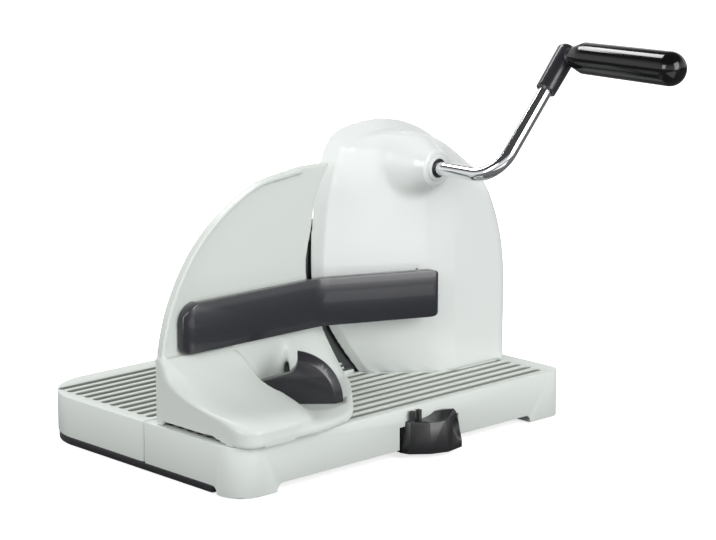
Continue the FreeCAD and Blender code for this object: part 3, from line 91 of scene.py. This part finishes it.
def add_node(owner, kind, settings=None, links=None):
    """One more node, with its settings and what its inputs are joined to."""
    tree = owner.node_tree
    node = tree.nodes.new(kind)
    for name, value in (settings or {}).items():
        if name in node.inputs:
            node.inputs[name].default_value = value
        else:
            setattr(node, name, value)
    for name, source in (links or {}).items():
        tree.links.new(source, node.inputs[name])
    return node


def new_material(name):
    """An empty material."""
    material = bpy.data.materials.new(name)
    material.use_nodes = True
    material.node_tree.nodes.clear()
    return material


bpy.context.scene.view_settings.view_transform = "Standard"

bpy.ops.object.select_all(action="DESELECT")
bpy.ops.mesh.primitive_plane_add(size=BOARD_SIZE, location=(0, 0, -BOARD_DROP))
table = bpy.context.object
table.name = "table"
board = new_material("painted_board")
shade = add_node(board, "ShaderNodeBsdfDiffuse", {"Color": linear("#F4F4F4")})
glow = add_node(board, "ShaderNodeEmission", {"Color": linear("#FFFFFF"), "Strength": BOARD_GLOW})
both = add_node(board, "ShaderNodeAddShader")
board.node_tree.links.new(shade.outputs[0], both.inputs[0])
board.node_tree.links.new(glow.outputs[0], both.inputs[1])
dull = add_node(board, "ShaderNodeBsdfDiffuse", {"Color": linear("#6C6C6C")})
ray = add_node(board, "ShaderNodeLightPath")
seen = add_node(board, "ShaderNodeMixShader", links={"Fac": ray.outputs["Is Camera Ray"]})
board.node_tree.links.new(dull.outputs[0], seen.inputs[1])
board.node_tree.links.new(both.outputs[0], seen.inputs[2])
add_node(board, "ShaderNodeOutputMaterial", links={"Surface": seen.outputs[0]})
table.data.materials.append(board)

tent = bpy.data.worlds.new("cloth_tent")
bpy.context.scene.world = tent
tent.use_nodes = True
tent.node_tree.nodes.clear()
place = add_node(tent, "ShaderNodeTexCoord")
axes = add_node(tent, "ShaderNodeSeparateXYZ", links={"Vector": place.outputs["Generated"]})
height = add_node(tent, "ShaderNodeMapRange",
                  {"From Min": TENT_EAVES, "From Max": TENT_ROOF,
                   "To Min": TENT_SIDE, "To Max": TENT_TOP},
                  {"Value": axes.outputs["Z"]})
mirrored = add_node(tent, "ShaderNodeMapRange",
                    {"From Min": TENT_EAVES, "From Max": GAP_EDGE,
                     "To Min": TENT_SIDE, "To Max": TENT_GAP},
                    {"Value": axes.outputs["Z"]})
way = add_node(tent, "ShaderNodeLightPath")
light = add_node(tent, "ShaderNodeMix",
                 links={"Factor": way.outputs["Is Glossy Ray"], "A": height.outputs[0],
                        "B": mirrored.outputs[0]})
cloth = add_node(tent, "ShaderNodeBackground", {"Color": linear("#FFFFFF")},
                 {"Strength": light.outputs[0]})
add_node(tent, "ShaderNodeOutputWorld", links={"Surface": cloth.outputs[0]})


def soft_light(name, place, aim, width, height, power):
    """A rectangular soft box that faces a point."""
    lamp = bpy.data.lights.new(name, "AREA")
    lamp.shape = "RECTANGLE"
    lamp.size = width
    lamp.size_y = height
    lamp.energy = power
    box = bpy.data.objects.new(name, lamp)
    bpy.context.scene.collection.objects.link(box)
    box.location = place
    box.rotation_euler = (Vector(aim) - Vector(place)).to_track_quat("-Z", "Y").to_euler()


# Three soft boxes stand in front and at the left, and one behind lights the tops of the pieces.
soft_light("key", place=(0.35, -1.9, 0.95), aim=(0, 0, 0.12), width=1.1, height=1.1, power=20.0)
soft_light("left", place=(-1.9, -0.2, 0.9), aim=(0, 0, 0.1), width=0.9, height=0.9, power=14.0)
soft_light("front_low", place=(0.2, -1.75, 0.35), aim=(0.05, 0, 0.08),
           width=0.9, height=0.3, power=2.5)
soft_light("back_strip", place=(0.14, 0.96, 1.39), aim=(0.14, -0.18, 0.27),
           width=0.6, height=0.5, power=11.0)

# A white card lies on the table in front, out of sight, and shines up into the near side.
bpy.ops.object.select_all(action="DESELECT")
bpy.ops.mesh.primitive_plane_add(size=1.0, location=CARD_PLACE)
card = bpy.context.object
card.name = "front_card"
card.scale = CARD_SIZE
paper = new_material("white_card")
face = add_node(paper, "ShaderNodeEmission", {"Color": linear("#FFFFFF"), "Strength": CARD_GLOW})
add_node(paper, "ShaderNodeOutputMaterial", links={"Surface": face.outputs[0]})
card.data.materials.append(paper)
card.visible_camera = False

# ---- camera -------------------------------------------------------------------------------
# A long lens with a level horizon, a little above the slicer and about 1.8 metres away, that
# looks at its front left corner.

CAMERA_PLACE = (-1.1709, -1.3003, 0.4974)
CAMERA_TILT = math.radians(77.695)       # from straight down
CAMERA_TURN = math.radians(-43.37)       # from looking along +Y
LENS_MM = 124.29
SENSOR_MM = 36.0
FARTHEST = 50.0

view = bpy.data.cameras.new("view")
view.sensor_width = SENSOR_MM
view.lens = LENS_MM
view.clip_end = FARTHEST
camera = bpy.data.objects.new("camera", view)
bpy.context.scene.collection.objects.link(camera)
camera.location = CAMERA_PLACE
camera.rotation_euler = (CAMERA_TILT, 0, CAMERA_TURN)
bpy.context.scene.camera = camera

# ---- base tray ----------------------------------------------------------------------------
# The near half of the base: one injection moulding in white ABS with a satin grain, ribbed
# where the slices land, with its walls and corner feet. The edges of the mould are eased.

# Places and sizes of pieces are in millimetres from the left end, the near wall and the table.
LEFT_END = 158
NEAR_WALL = 114
TRAY_EDGE = 0.5
WINDOW_TOP = 22.6        # the near wall comes down to the knob, closer than the solid's window,
WINDOW_SPAN = (147, 207)                 # whose upper edge lies between these two ends,
WINDOW_EDGE = (26, 33.5)                 # between these heights
WINDOW_DEPTH = 3.5                       # and this near the face of the wall
SATIN_GRAIN = 0.35       # a real grain of about 0.1 mm, drawn coarser so that it shows
# The grooves of the ribbed trays are painted this darker grey: painted shade, not a colour of the
# plastic.
PAINTED_GROOVE_SHADE = "#74786F"
GROOVE_DEPTH = 0.0014    # metres, as the materials measure
GROOVE_BORDER = 0.007
GROOVE_FADE = 1.05       # the painted shade comes in over a twentieth of the border, and goes out between these shares of the depth, below the grooves
GROOVE_END = 1.1         # and goes out between these shares of the depth, below the grooves
TONE_SCALE = 14.0        # patches of slightly different tone, about 70 mm wide
GRAIN_HEIGHT = 0.00005   # metres
GLOSS_SPREAD = 0.04
COAT_ROUGHNESS = 0.08
PLASTIC_IOR = 1.5
WELD = 0.000005          # metres
FLAT_ANGLE = math.radians(0.5)           # faces that lean less from each other are one face
EDGE_ANGLE = 38
EDGE_STEPS = 2
SMOOTH_ANGLE = math.radians(32)


def moulded(name, colour, tone, roughness, coat, grain_mm, relief=0.08, grooves=None):
    """Moulded plastic: a fine grain in its gloss and surface, and a slight change of tone.

    Grooves are the corners of a ribbed tray's box; inside it, its grooves get painted shade, a
    darker grey mixed into the colour below the rib tops.
    """
    material = new_material(name)
    place = add_node(material, "ShaderNodeTexCoord")
    cloud = add_node(material, "ShaderNodeTexNoise", {"Scale": TONE_SCALE, "Detail": 3.0},
                     {"Vector": place.outputs["Object"]})
    mix = add_node(material, "ShaderNodeMix", {"data_type": "RGBA"},
                   {"Factor": cloud.outputs["Fac"]})
    mix.inputs[6].default_value = linear(colour)
    mix.inputs[7].default_value = linear(tone)
    grain = add_node(material, "ShaderNodeTexNoise", {"Scale": 1000 / grain_mm, "Detail": 2.0},
                     {"Vector": place.outputs["Object"]})
    spread = add_node(material, "ShaderNodeMapRange",
                      {"To Min": roughness - GLOSS_SPREAD, "To Max": roughness + GLOSS_SPREAD},
                      {"Value": grain.outputs["Fac"]})
    bump = add_node(material, "ShaderNodeBump", {"Strength": relief, "Distance": GRAIN_HEIGHT},
                    {"Height": grain.outputs["Fac"]})
    tint = mix.outputs[2]
    # Painted shade: inside the tray's border, below the rib tops, the colour is mixed towards the
    # darker grey.
    if grooves:
        low, high = grooves
        border = GROOVE_BORDER * GROOVE_FADE
        axes = add_node(material, "ShaderNodeSeparateXYZ",
                        links={"Vector": place.outputs["Object"]})
        left = add_node(material, "ShaderNodeMapRange",
                        {"From Min": low[0] + GROOVE_BORDER, "From Max": low[0] + border},
                        {"Value": axes.outputs["X"]})
        ends = add_node(material, "ShaderNodeMapRange",
                        {"From Min": high[0] - border, "From Max": high[0] - GROOVE_BORDER,
                         "To Max": 0.0},
                        {"Value": axes.outputs["X"], "To Min": left.outputs[0]})
        sides = add_node(material, "ShaderNodeMapRange",
                         {"From Min": low[1] + GROOVE_BORDER, "From Max": low[1] + border},
                         {"Value": axes.outputs["Y"], "To Max": ends.outputs[0]})
        floor = add_node(material, "ShaderNodeMapRange",
                         {"From Min": high[2] - GROOVE_DEPTH * GROOVE_END,
                          "From Max": high[2] - GROOVE_DEPTH * GROOVE_FADE},
                         {"Value": axes.outputs["Z"], "To Max": sides.outputs[0]})
        depth = add_node(material, "ShaderNodeMapRange",
                         {"From Min": high[2] - GROOVE_DEPTH, "From Max": high[2], "To Max": 0.0},
                         {"Value": axes.outputs["Z"], "To Min": floor.outputs[0]})
        painted_groove_mix = add_node(material, "ShaderNodeMix", {"data_type": "RGBA"},
                        {"Factor": depth.outputs[0]})
        painted_groove_mix.inputs[7].default_value = linear(PAINTED_GROOVE_SHADE)
        material.node_tree.links.new(tint, painted_groove_mix.inputs[6])
        tint = painted_groove_mix.outputs[2]
    shader = add_node(material, "ShaderNodeBsdfPrincipled",
                      {"IOR": PLASTIC_IOR, "Coat Weight": coat, "Coat Roughness": COAT_ROUGHNESS},
                      {"Base Color": tint, "Roughness": spread.outputs[0],
                       "Normal": bump.outputs[0]})
    add_node(material, "ShaderNodeOutputMaterial", links={"Surface": shader.outputs[0]})
    return material


def made_active(piece):
    """Nothing but this piece is selected."""
    bpy.ops.object.select_all(action="DESELECT")
    piece.select_set(True)
    bpy.context.view_layer.objects.active = piece


def copied(node):
    """A copy of a solid, with its flat faces made whole."""
    solid = frame["nodes"][node]
    piece = solid.copy()
    piece.data = solid.data.copy()
    piece.name = node + "_finished"
    bpy.context.scene.collection.objects.link(piece)
    piece.parent = None
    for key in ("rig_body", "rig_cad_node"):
        del piece[key]
    made_active(piece)
    if piece.data.has_custom_normals:
        bpy.ops.mesh.customdata_custom_splitnormals_clear()
    bpy.ops.object.mode_set(mode="EDIT")
    bpy.ops.mesh.select_all(action="SELECT")
    bpy.ops.mesh.remove_doubles(threshold=WELD)
    bpy.ops.mesh.dissolve_limited(angle_limit=FLAT_ANGLE)
    bpy.ops.object.mode_set(mode="OBJECT")
    return piece


def eased(piece, edge_mm, angle=EDGE_ANGLE):
    """The edges of a piece that turn by more than an angle in degrees, rounded by a width."""
    made_active(piece)
    ease = piece.modifiers.new("ease", "BEVEL")
    ease.width = edge_mm / 1000
    ease.segments = EDGE_STEPS
    ease.limit_method = "ANGLE"
    ease.angle_limit = math.radians(angle)
    ease.use_clamp_overlap = False
    bpy.ops.object.modifier_apply(modifier="ease")


def stands_for(piece, node, material):
    """The piece takes the place of a solid, on that solid's body."""
    made_active(piece)
    bpy.ops.object.shade_smooth_by_angle(angle=SMOOTH_ANGLE)
    piece.data.materials.clear()
    piece.data.materials.append(material)
    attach(piece, frame["nodes"][node]["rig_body"])
    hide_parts(node)


def finished(node, material, edge_mm=0.0):
    """A copy of a solid, with its edges eased if a width is given, which stands for it."""
    piece = copied(node)
    if edge_mm:
        eased(piece, edge_mm)
    stands_for(piece, node, material)


def measured(corner):
    """A corner of a mesh in millimetres from the left end, the near wall and the table."""
    return corner.co.x * 1000 + LEFT_END, corner.co.y * 1000 + NEAR_WALL, corner.co.z * 1000


def ribbed(name, node):
    """Satin ABS with a soft sheen on a pale grey white, and painted shade in its grooves."""
    return moulded(name, "#DEE4DF", "#DAE0DB", roughness=0.4, coat=0.1, grain_mm=SATIN_GRAIN,
                   grooves=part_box(node))


tray = copied("base_tray")
for corner in tray.data.vertices:
    x, y, z = measured(corner)
    if (WINDOW_SPAN[0] < x < WINDOW_SPAN[1] and y < WINDOW_DEPTH
            and WINDOW_EDGE[0] < z < WINDOW_EDGE[1]):
        corner.co.z = WINDOW_TOP / 1000
eased(tray, TRAY_EDGE)
# The tray's grooves carry painted shade.
stands_for(tray, "base_tray", ribbed("moulded_abs_ribbed_tray", "base_tray"))

# ---- under plate, pads and screws -----------------------------------------------------------
# A black polypropylene plate closes the base from below, held by four zinc-plated screws. Seven
# round rubber pads are pressed into the plate and the corner feet.

UNDER_PLATE_EDGE = 0.5


def turned_metal(name, colour, rough_min, rough_max, grain_mm):
    """Bare metal with the fine marks of turning or rolling in its gloss."""
    metal = new_material(name)
    place = add_node(metal, "ShaderNodeTexCoord")
    marks = add_node(metal, "ShaderNodeTexNoise", {"Scale": 1000 / grain_mm, "Detail": 3.0},
                     {"Vector": place.outputs["Object"]})
    spread = add_node(metal, "ShaderNodeMapRange", {"To Min": rough_min, "To Max": rough_max},
                      {"Value": marks.outputs["Fac"]})
    shader = add_node(metal, "ShaderNodeBsdfPrincipled",
                      {"Base Color": linear(colour), "Metallic": 1.0},
                      {"Roughness": spread.outputs[0]})
    add_node(metal, "ShaderNodeOutputMaterial", links={"Surface": shader.outputs[0]})
    return metal


def dressed(material, *names):
    """Solids that stay as they are and take a finish."""
    for name in names:
        solid = frame["nodes"][name]
        solid.data.materials.clear()
        solid.data.materials.append(material)


# Black polypropylene is near black, with a soft sheen.
charcoal = moulded("moulded_pp_charcoal", "#242429", "#28282D",
                   roughness=0.3, coat=0.4, grain_mm=0.4, relief=0.05)
finished("under_plate", charcoal, UNDER_PLATE_EDGE)

# Rubber is black and dull, with no highlight.
rubber = moulded("moulded_rubber_black", "#1E1E1E", "#242424",
                 roughness=0.8, coat=0.0, grain_mm=0.3, relief=0.2)
dressed(rubber, "rubber_feet")

# Zinc plate is grey, with a broad soft highlight.
zinc_steel = turned_metal("zinc_plated_steel", "#B4B6BA",
                          rough_min=0.25, rough_max=0.4, grain_mm=1.2)
dressed(zinc_steel, "base_screws")

# ---- guide rail and stop rods ---------------------------------------------------------------
# An extruded aluminium channel, set into the back of the tray, guides the carriage. Two ground
# steel rods under the tray carry the stop plate.

# Aluminium from the die is pale and soft, and ground steel has a tighter, brighter highlight.
mill_aluminium = turned_metal("extruded_aluminium", "#BEC0C4",
                              rough_min=0.3, rough_max=0.42, grain_mm=0.8)
dressed(mill_aluminium, "guide_rail")
ground_steel = turned_metal("ground_steel_rod", "#C3C4C6",
                            rough_min=0.15, rough_max=0.25, grain_mm=0.5)
dressed(ground_steel, "stop_rods", "knob_pin")

# ---- suction foot ---------------------------------------------------------------------------
# A thumb knob in the near wall, moulded in black polypropylene, turns on a steel pin. Its cam
# arm lifts a nylon stem and with it the middle of a soft rubber cup, which holds the table.

KNOB_X = 177
KNOB_Y = 6
KNOB_FOOT = 4.0
KNOB_BLANK = 32          # radius and height of the disc that the thumb piece is cut from
KNOB_SIDES = 64
KNOB_LEAN = math.radians(10)
KNOB_PLAN = ((148.6, 2), (151, -6), (163, -16), (176, -20.5), (192, -17.8), (202, -8), (205, 2))
KNOB_EDGE = 0.55
KNOB_EDGE_ANGLE = 25
THUMB_BACK = 1.6         # the thumb piece and the drum overlap inside the wall
DRUM_FRONT = 1.2
SADDLE_X = 170
SADDLE_Z = 49.6
SADDLE_RADIUS = 24
SHOULDER_SPAN = (140, 167)
SHOULDER_TOP = 26.4
STEP_SPAN = (180, 215)
STEP_TOP = 18
HORN_PLACE = (187.4, 0, 32.4)
HORN_SLOPE = (-13, 0, -12)               # the flank that falls from the horn to the step
RIDGE_PLACE = (187, -15, 32.5)
RIDGE_SLOPE = (0, 0.25, 0.97)            # the tops fall towards the wall
HOLLOW_PLACE = (196, -20.5, 20)
HOLLOW_RADIUS = 12.5
PRONG_PLACES = (155.4, 161.8)
PRONG_WIDTH = 3.1
PRONG_NEAR = -4.8
PRONG_FAR = -1.4
PRONG_BOTTOM = 20
PRONG_TOP = 34
CUT_NEAR = -40           # the cutters reach past the thumb piece, to these three places
CUT_FAR = 20
CUT_TOP = 45
BAR_SIDES = 96


def spot(x, y, z):
    """A place in metres, from millimetres from the left end, the near wall and the table."""
    return Vector(((x - LEFT_END) / 1000, (y - NEAR_WALL) / 1000, z / 1000))


def brick(x0, y0, z0, x1, y1, z1):
    """A rectangular block between two corners in millimetres."""
    low = spot(x0, y0, z0)
    high = spot(x1, y1, z1)
    bpy.ops.object.select_all(action="DESELECT")
    bpy.ops.mesh.primitive_cube_add(size=1.0, location=(low + high) / 2)
    block = bpy.context.object
    block.scale = high - low
    bpy.ops.object.transform_apply(location=True, rotation=True, scale=True)
    return block


def bar_across(x, z, radius, y0, y1):
    """A round bar along Y, in millimetres."""
    bpy.ops.object.select_all(action="DESELECT")
    bpy.ops.mesh.primitive_cylinder_add(vertices=BAR_SIDES, radius=radius / 1000,
                                        depth=(y1 - y0) / 1000,
                                        location=spot(x, (y0 + y1) / 2, z),
                                        rotation=(math.pi / 2, 0, 0))
    bar = bpy.context.object
    bpy.ops.object.transform_apply(location=True, rotation=True, scale=True)
    return bar


def joined(piece, other, operation):
    """The piece with another one added to it or taken out of it."""
    made_active(piece)
    change = piece.modifiers.new("change", "BOOLEAN")
    change.operation = operation
    change.solver = "EXACT"
    change.object = other
    bpy.ops.object.modifier_apply(modifier="change")
    bpy.data.objects.remove(other)
    bpy.ops.object.mode_set(mode="EDIT")
    bpy.ops.mesh.select_all(action="SELECT")
    bpy.ops.mesh.dissolve_limited(angle_limit=FLAT_ANGLE)
    bpy.ops.object.mode_set(mode="OBJECT")


def cut_away(piece, point, normal):
    """The piece without what lies on the far side of a plane, and closed there."""
    made_active(piece)
    bpy.ops.object.mode_set(mode="EDIT")
    bpy.ops.mesh.select_all(action="SELECT")
    bpy.ops.mesh.bisect(plane_co=point, plane_no=normal, use_fill=True, clear_outer=True)
    bpy.ops.object.mode_set(mode="OBJECT")


# The thumb piece starts as a thick disc and is cut to leaning facets.
bpy.ops.object.select_all(action="DESELECT")
bpy.ops.mesh.primitive_cylinder_add(vertices=KNOB_SIDES, radius=KNOB_BLANK / 1000,
                                    depth=KNOB_BLANK / 1000,
                                    location=spot(KNOB_X, KNOB_Y, KNOB_FOOT + KNOB_BLANK / 2))
thumb = bpy.context.object
bpy.ops.object.transform_apply(location=True, rotation=True, scale=True)
for (ax, ay), (bx, by) in zip(KNOB_PLAN, KNOB_PLAN[1:]):
    out = Vector((by - ay, ax - bx, 0)).normalized()
    cut_away(thumb, spot(ax, ay, KNOB_FOOT),
             out * math.cos(KNOB_LEAN) + Vector((0, 0, math.sin(KNOB_LEAN))))
cut_away(thumb, spot(KNOB_X, THUMB_BACK, 0), (0, 1, 0))

# The saddle, the low left shoulder and the step at the right leave a horn between them.
joined(thumb, bar_across(SADDLE_X, SADDLE_Z, SADDLE_RADIUS, CUT_NEAR, CUT_FAR), "DIFFERENCE")
shoulder = brick(SHOULDER_SPAN[0], CUT_NEAR, SHOULDER_TOP, SHOULDER_SPAN[1], CUT_FAR, CUT_TOP)
joined(thumb, shoulder, "DIFFERENCE")
step = brick(STEP_SPAN[0], CUT_NEAR, STEP_TOP, STEP_SPAN[1], CUT_FAR, CUT_TOP)
cut_away(step, spot(*HORN_PLACE), Vector(HORN_SLOPE).normalized())
joined(thumb, step, "DIFFERENCE")
cut_away(thumb, spot(*RIDGE_PLACE), Vector(RIDGE_SLOPE).normalized())

# The hollow that the thumb pushes in is at the right, and the two prongs stand at the left.
bpy.ops.object.select_all(action="DESELECT")
bpy.ops.mesh.primitive_uv_sphere_add(segments=KNOB_SIDES, ring_count=KNOB_SIDES // 2,
                                     radius=HOLLOW_RADIUS / 1000, location=spot(*HOLLOW_PLACE))
ball = bpy.context.object
bpy.ops.object.transform_apply(location=True, rotation=True, scale=True)
joined(thumb, ball, "DIFFERENCE")
for x in PRONG_PLACES:
    prong = brick(x, PRONG_NEAR, PRONG_BOTTOM, x + PRONG_WIDTH, PRONG_FAR, PRONG_TOP)
    joined(thumb, prong, "UNION")
eased(thumb, KNOB_EDGE, KNOB_EDGE_ANGLE)

# Behind the wall it is the cam drum, as the solid has it.
drum = copied("suction_knob")
cut_away(drum, spot(KNOB_X, DRUM_FRONT, 0), (0, -1, 0))
made_active(drum)
thumb.select_set(True)
bpy.ops.object.join()

# The knob's polypropylene is blacker and duller than that of the other pieces.
knob_black = moulded("moulded_pp_knob_black", "#19191C", "#1D1D20",
                     roughness=0.36, coat=0.15, grain_mm=0.4, relief=0.05)
stands_for(drum, "suction_knob", knob_black)
dressed(rubber, "suction_cup")

# Natural nylon is a warm white with a dull surface.
natural_nylon = moulded("moulded_natural_nylon", "#DAD7C9", "#D3D0C1",
                        roughness=0.45, coat=0.0, grain_mm=0.5)
dressed(natural_nylon, "suction_stem")

# ---- carriage -------------------------------------------------------------------------------
# The bread rides on a ribbed tray like the near one. Two nylon shoes, each held by a screw, run
# in the rail and guide it over a fixed bed. Tray and bed are moulded in white ABS.

# Satin ABS is a grey white with a soft sheen.
satin_white = moulded("moulded_abs_satin_white", "#D5DBD6", "#D1D7D2",
                      roughness=0.4, coat=0.1, grain_mm=SATIN_GRAIN)
finished("carriage_bed", satin_white)
# Its grooves carry painted shade, as the near tray's do.
finished("carriage_tray", ribbed("moulded_abs_ribbed_carriage", "carriage_tray"),
         TRAY_EDGE)
dressed(natural_nylon, "guide_shoes")
dressed(zinc_steel, "shoe_screws")

# ---- gear housing ---------------------------------------------------------------------------
# The tall dome over the gears, moulded in glossy white ABS, whose hub flows into its crown.
# Three screws from under the tray hold it. A plate of satin ABS, held by six, closes its back.

HOUSING_CELL = 1.15
CRANK_X = 230
CRANK_Z = 190.75
HUB_FACE = 46.5
NOSE_KEPT = 13.6         # radius of the crisp rim round the bush
NOSE_START = 2.5         # the blend comes in over this width outside the rim,
NOSE_FADE = 18           # and goes out over this width inside its reach
NOSE_REACH = 62.0
NOSE_DEPTH = 40          # behind the hub's face
NOSE_PASSES = 90
LIP_OUTER = 9.5
LIP_BORE = 6.7
LIP_SPAN = (44.9, 47.2)
LIP_BORE_SPAN = (40, 50)                 # the cutter is longer than the lip
LIP_EDGE = 0.5


def skinned(piece, cell_mm):
    """The piece rebuilt in even cells of a size in millimetres, so that it can be blended."""
    made_active(piece)
    skin = piece.modifiers.new("skin", "REMESH")
    skin.mode = "VOXEL"
    skin.voxel_size = cell_mm / 1000
    bpy.ops.object.modifier_apply(modifier="skin")


def blended(piece, group, passes):
    """The corners of one group relaxed towards their neighbours, a number of times."""
    made_active(piece)
    blend = piece.modifiers.new("blend", "SMOOTH")
    blend.factor = 0.5
    blend.iterations = passes
    blend.vertex_group = group.name
    bpy.ops.object.modifier_apply(modifier="blend")


# Glossy ABS is a bright white under a thin sharp reflection.
gloss_white = moulded("moulded_abs_gloss_white", "#E2E6E4", "#DFE3E1",
                      roughness=0.22, coat=0.35, grain_mm=0.5, relief=0.03)
housing = copied("gear_housing")
skinned(housing, HOUSING_CELL)
nose = housing.vertex_groups.new(name="nose")
for corner in housing.data.vertices:
    x, y, z = measured(corner)
    away = math.hypot(x - CRANK_X, z - CRANK_Z)
    share = min((away - NOSE_KEPT) / NOSE_START, (NOSE_REACH - away) / NOSE_FADE, 1)
    if share > 0 and y < HUB_FACE + NOSE_DEPTH:
        nose.add([corner.index], share, "REPLACE")
blended(housing, nose, NOSE_PASSES)

# A thin lip of the moulding stands round the flange of the bush.
lip = bar_across(CRANK_X, CRANK_Z, LIP_OUTER, *LIP_SPAN)
joined(lip, bar_across(CRANK_X, CRANK_Z, LIP_BORE, *LIP_BORE_SPAN), "DIFFERENCE")
eased(lip, LIP_EDGE)
made_active(housing)
lip.select_set(True)
bpy.ops.object.join()
stands_for(housing, "gear_housing", gloss_white)
finished("bearing_plate", satin_white)
dressed(zinc_steel, "housing_screws", "bearing_screws")

# ---- bushes and gears -----------------------------------------------------------------------
# Black plastic bushes carry both shafts. The three spur gears are moulded in natural nylon, and
# the middle one runs on a steel pin.

BUSH_EDGE = 0.4

finished("crank_bush", charcoal, BUSH_EDGE)
dressed(charcoal, "crank_rear_bush", "blade_bush", "blade_rear_bush")
dressed(natural_nylon, "crank_pinion", "idler_gear", "blade_gear")
dressed(ground_steel, "idler_pin", "blade_shaft")

# ---- blade ----------------------------------------------------------------------------------
# A round stainless blade with a ground bevel and a scalloped edge, clamped to its shaft by one
# slotted screw.

# The marks of grinding make it softer than polished steel. Its colour is darker than steel's:
# painted shade, for the shade in the gap beside the stop plate.
shade_darkened_blade_steel = turned_metal("ground_stainless_steel", "#6F7072",
                           rough_min=0.26, rough_max=0.36, grain_mm=0.6)
dressed(shade_darkened_blade_steel, "blade", "blade_screw")

# ---- crank ----------------------------------------------------------------------------------
# One bent steel rod is both the shaft and the arm. It is chrome plated, and a moulded socket
# joins it to the pin of the grip.

SOCKET_EDGE = 0.6

# Chrome is a mirror with a faint unevenness, from the bending of the rod.
chrome = turned_metal("chrome_plate", "#E6E8EA", rough_min=0.04, rough_max=0.09, grain_mm=11.0)
finished("crank_rod", chrome)
finished("crank_socket", charcoal, SOCKET_EDGE)
dressed(ground_steel, "grip_pin")

# ---- grip -----------------------------------------------------------------------------------
# The grip is turned round and moulded in glossy black phenolic, and it spins on its pin.

# Phenolic is the blackest of the plastics, and mirrors the lights in narrow streaks.
grip_black = moulded("moulded_phenolic_black", "#08080A", "#0B0B0D",
                     roughness=0.12, coat=0.0, grain_mm=0.6, relief=0.02)
finished("crank_grip", grip_black)

# ---- stop plate -----------------------------------------------------------------------------
# The plate that the loaf is pushed against, moulded with its flared foot in white satin ABS.
# Nylon blocks under it run on the rods, and a screw from below holds each to the foot.

PLATE_CELL = 1.0
EDGE_SWELL = 2.2         # how far the edge by the housing swells out, half way up the swell
SWELL_LOW = 128
SWELL_HIGH = 176
SWELL_FROM = 100
SWELL_FADE = 25
APRON_LOW = 37.5         # the apron of the foot is relaxed between these heights,
APRON_HIGH = 54
APRON_FAR = 40           # and no further back than this
APRON_FADE_LOW = 3       # the widths over which that comes in from each of the three
APRON_FADE_HIGH = 5
APRON_FADE_FAR = 10
APRON_PASSES = 40
FLANK_PLACE = (114.5, 81, 60)            # on the right flank of the scoop behind the lever
FLANK_REACH = 22
FLANK_FADE = 6
FLANK_PASSES = 160

plate = copied("stop_plate")
skinned(plate, PLATE_CELL)
apron = plate.vertex_groups.new(name="apron")
flank = plate.vertex_groups.new(name="flank")
for corner in plate.data.vertices:
    x, y, z = measured(corner)
    if SWELL_LOW < z < SWELL_HIGH and x > SWELL_FROM:
        rise = math.sin(math.pi * (z - SWELL_LOW) / (SWELL_HIGH - SWELL_LOW)) ** 2
        corner.co.x += EDGE_SWELL * rise * min((x - SWELL_FROM) / SWELL_FADE, 1) / 1000
    apron_share = min((z - APRON_LOW) / APRON_FADE_LOW, (APRON_HIGH - z) / APRON_FADE_HIGH,
                      (APRON_FAR - y) / APRON_FADE_FAR, 1)
    flank_share = min((FLANK_REACH - math.dist((x, y, z), FLANK_PLACE)) / FLANK_FADE, 1)
    if apron_share > 0:
        apron.add([corner.index], apron_share, "REPLACE")
    if flank_share > 0:
        flank.add([corner.index], flank_share, "REPLACE")
blended(plate, apron, APRON_PASSES)
blended(plate, flank, FLANK_PASSES)
stands_for(plate, "stop_plate", satin_white)
dressed(natural_nylon, "slide_blocks")
dressed(zinc_steel, "slide_screws")

# ---- guide bar ------------------------------------------------------------------------------
# A bar of black polypropylene across the near face of the stop plate, held by two screws from
# behind, whose free end stands clear of the plate in front of the housing.

BAR_EDGE = 0.8

# It is a little paler and glossier than the other black pieces.
bar_black = moulded("moulded_pp_bar_black", "#26272D", "#2A2B31",
                    roughness=0.3, coat=0.5, grain_mm=0.4, relief=0.05)
finished("guide_bar", bar_black, BAR_EDGE)
dressed(zinc_steel, "bar_screws")

# ---- thickness lever ------------------------------------------------------------------------
# A quarter disc moulded in black polypropylene, which the thumb swings on an upright steel pin
# in the foot of the stop plate.

LEVER_EDGE = 0.6

finished("thickness_lever", charcoal, LEVER_EDGE)
dressed(ground_steel, "lever_pin")
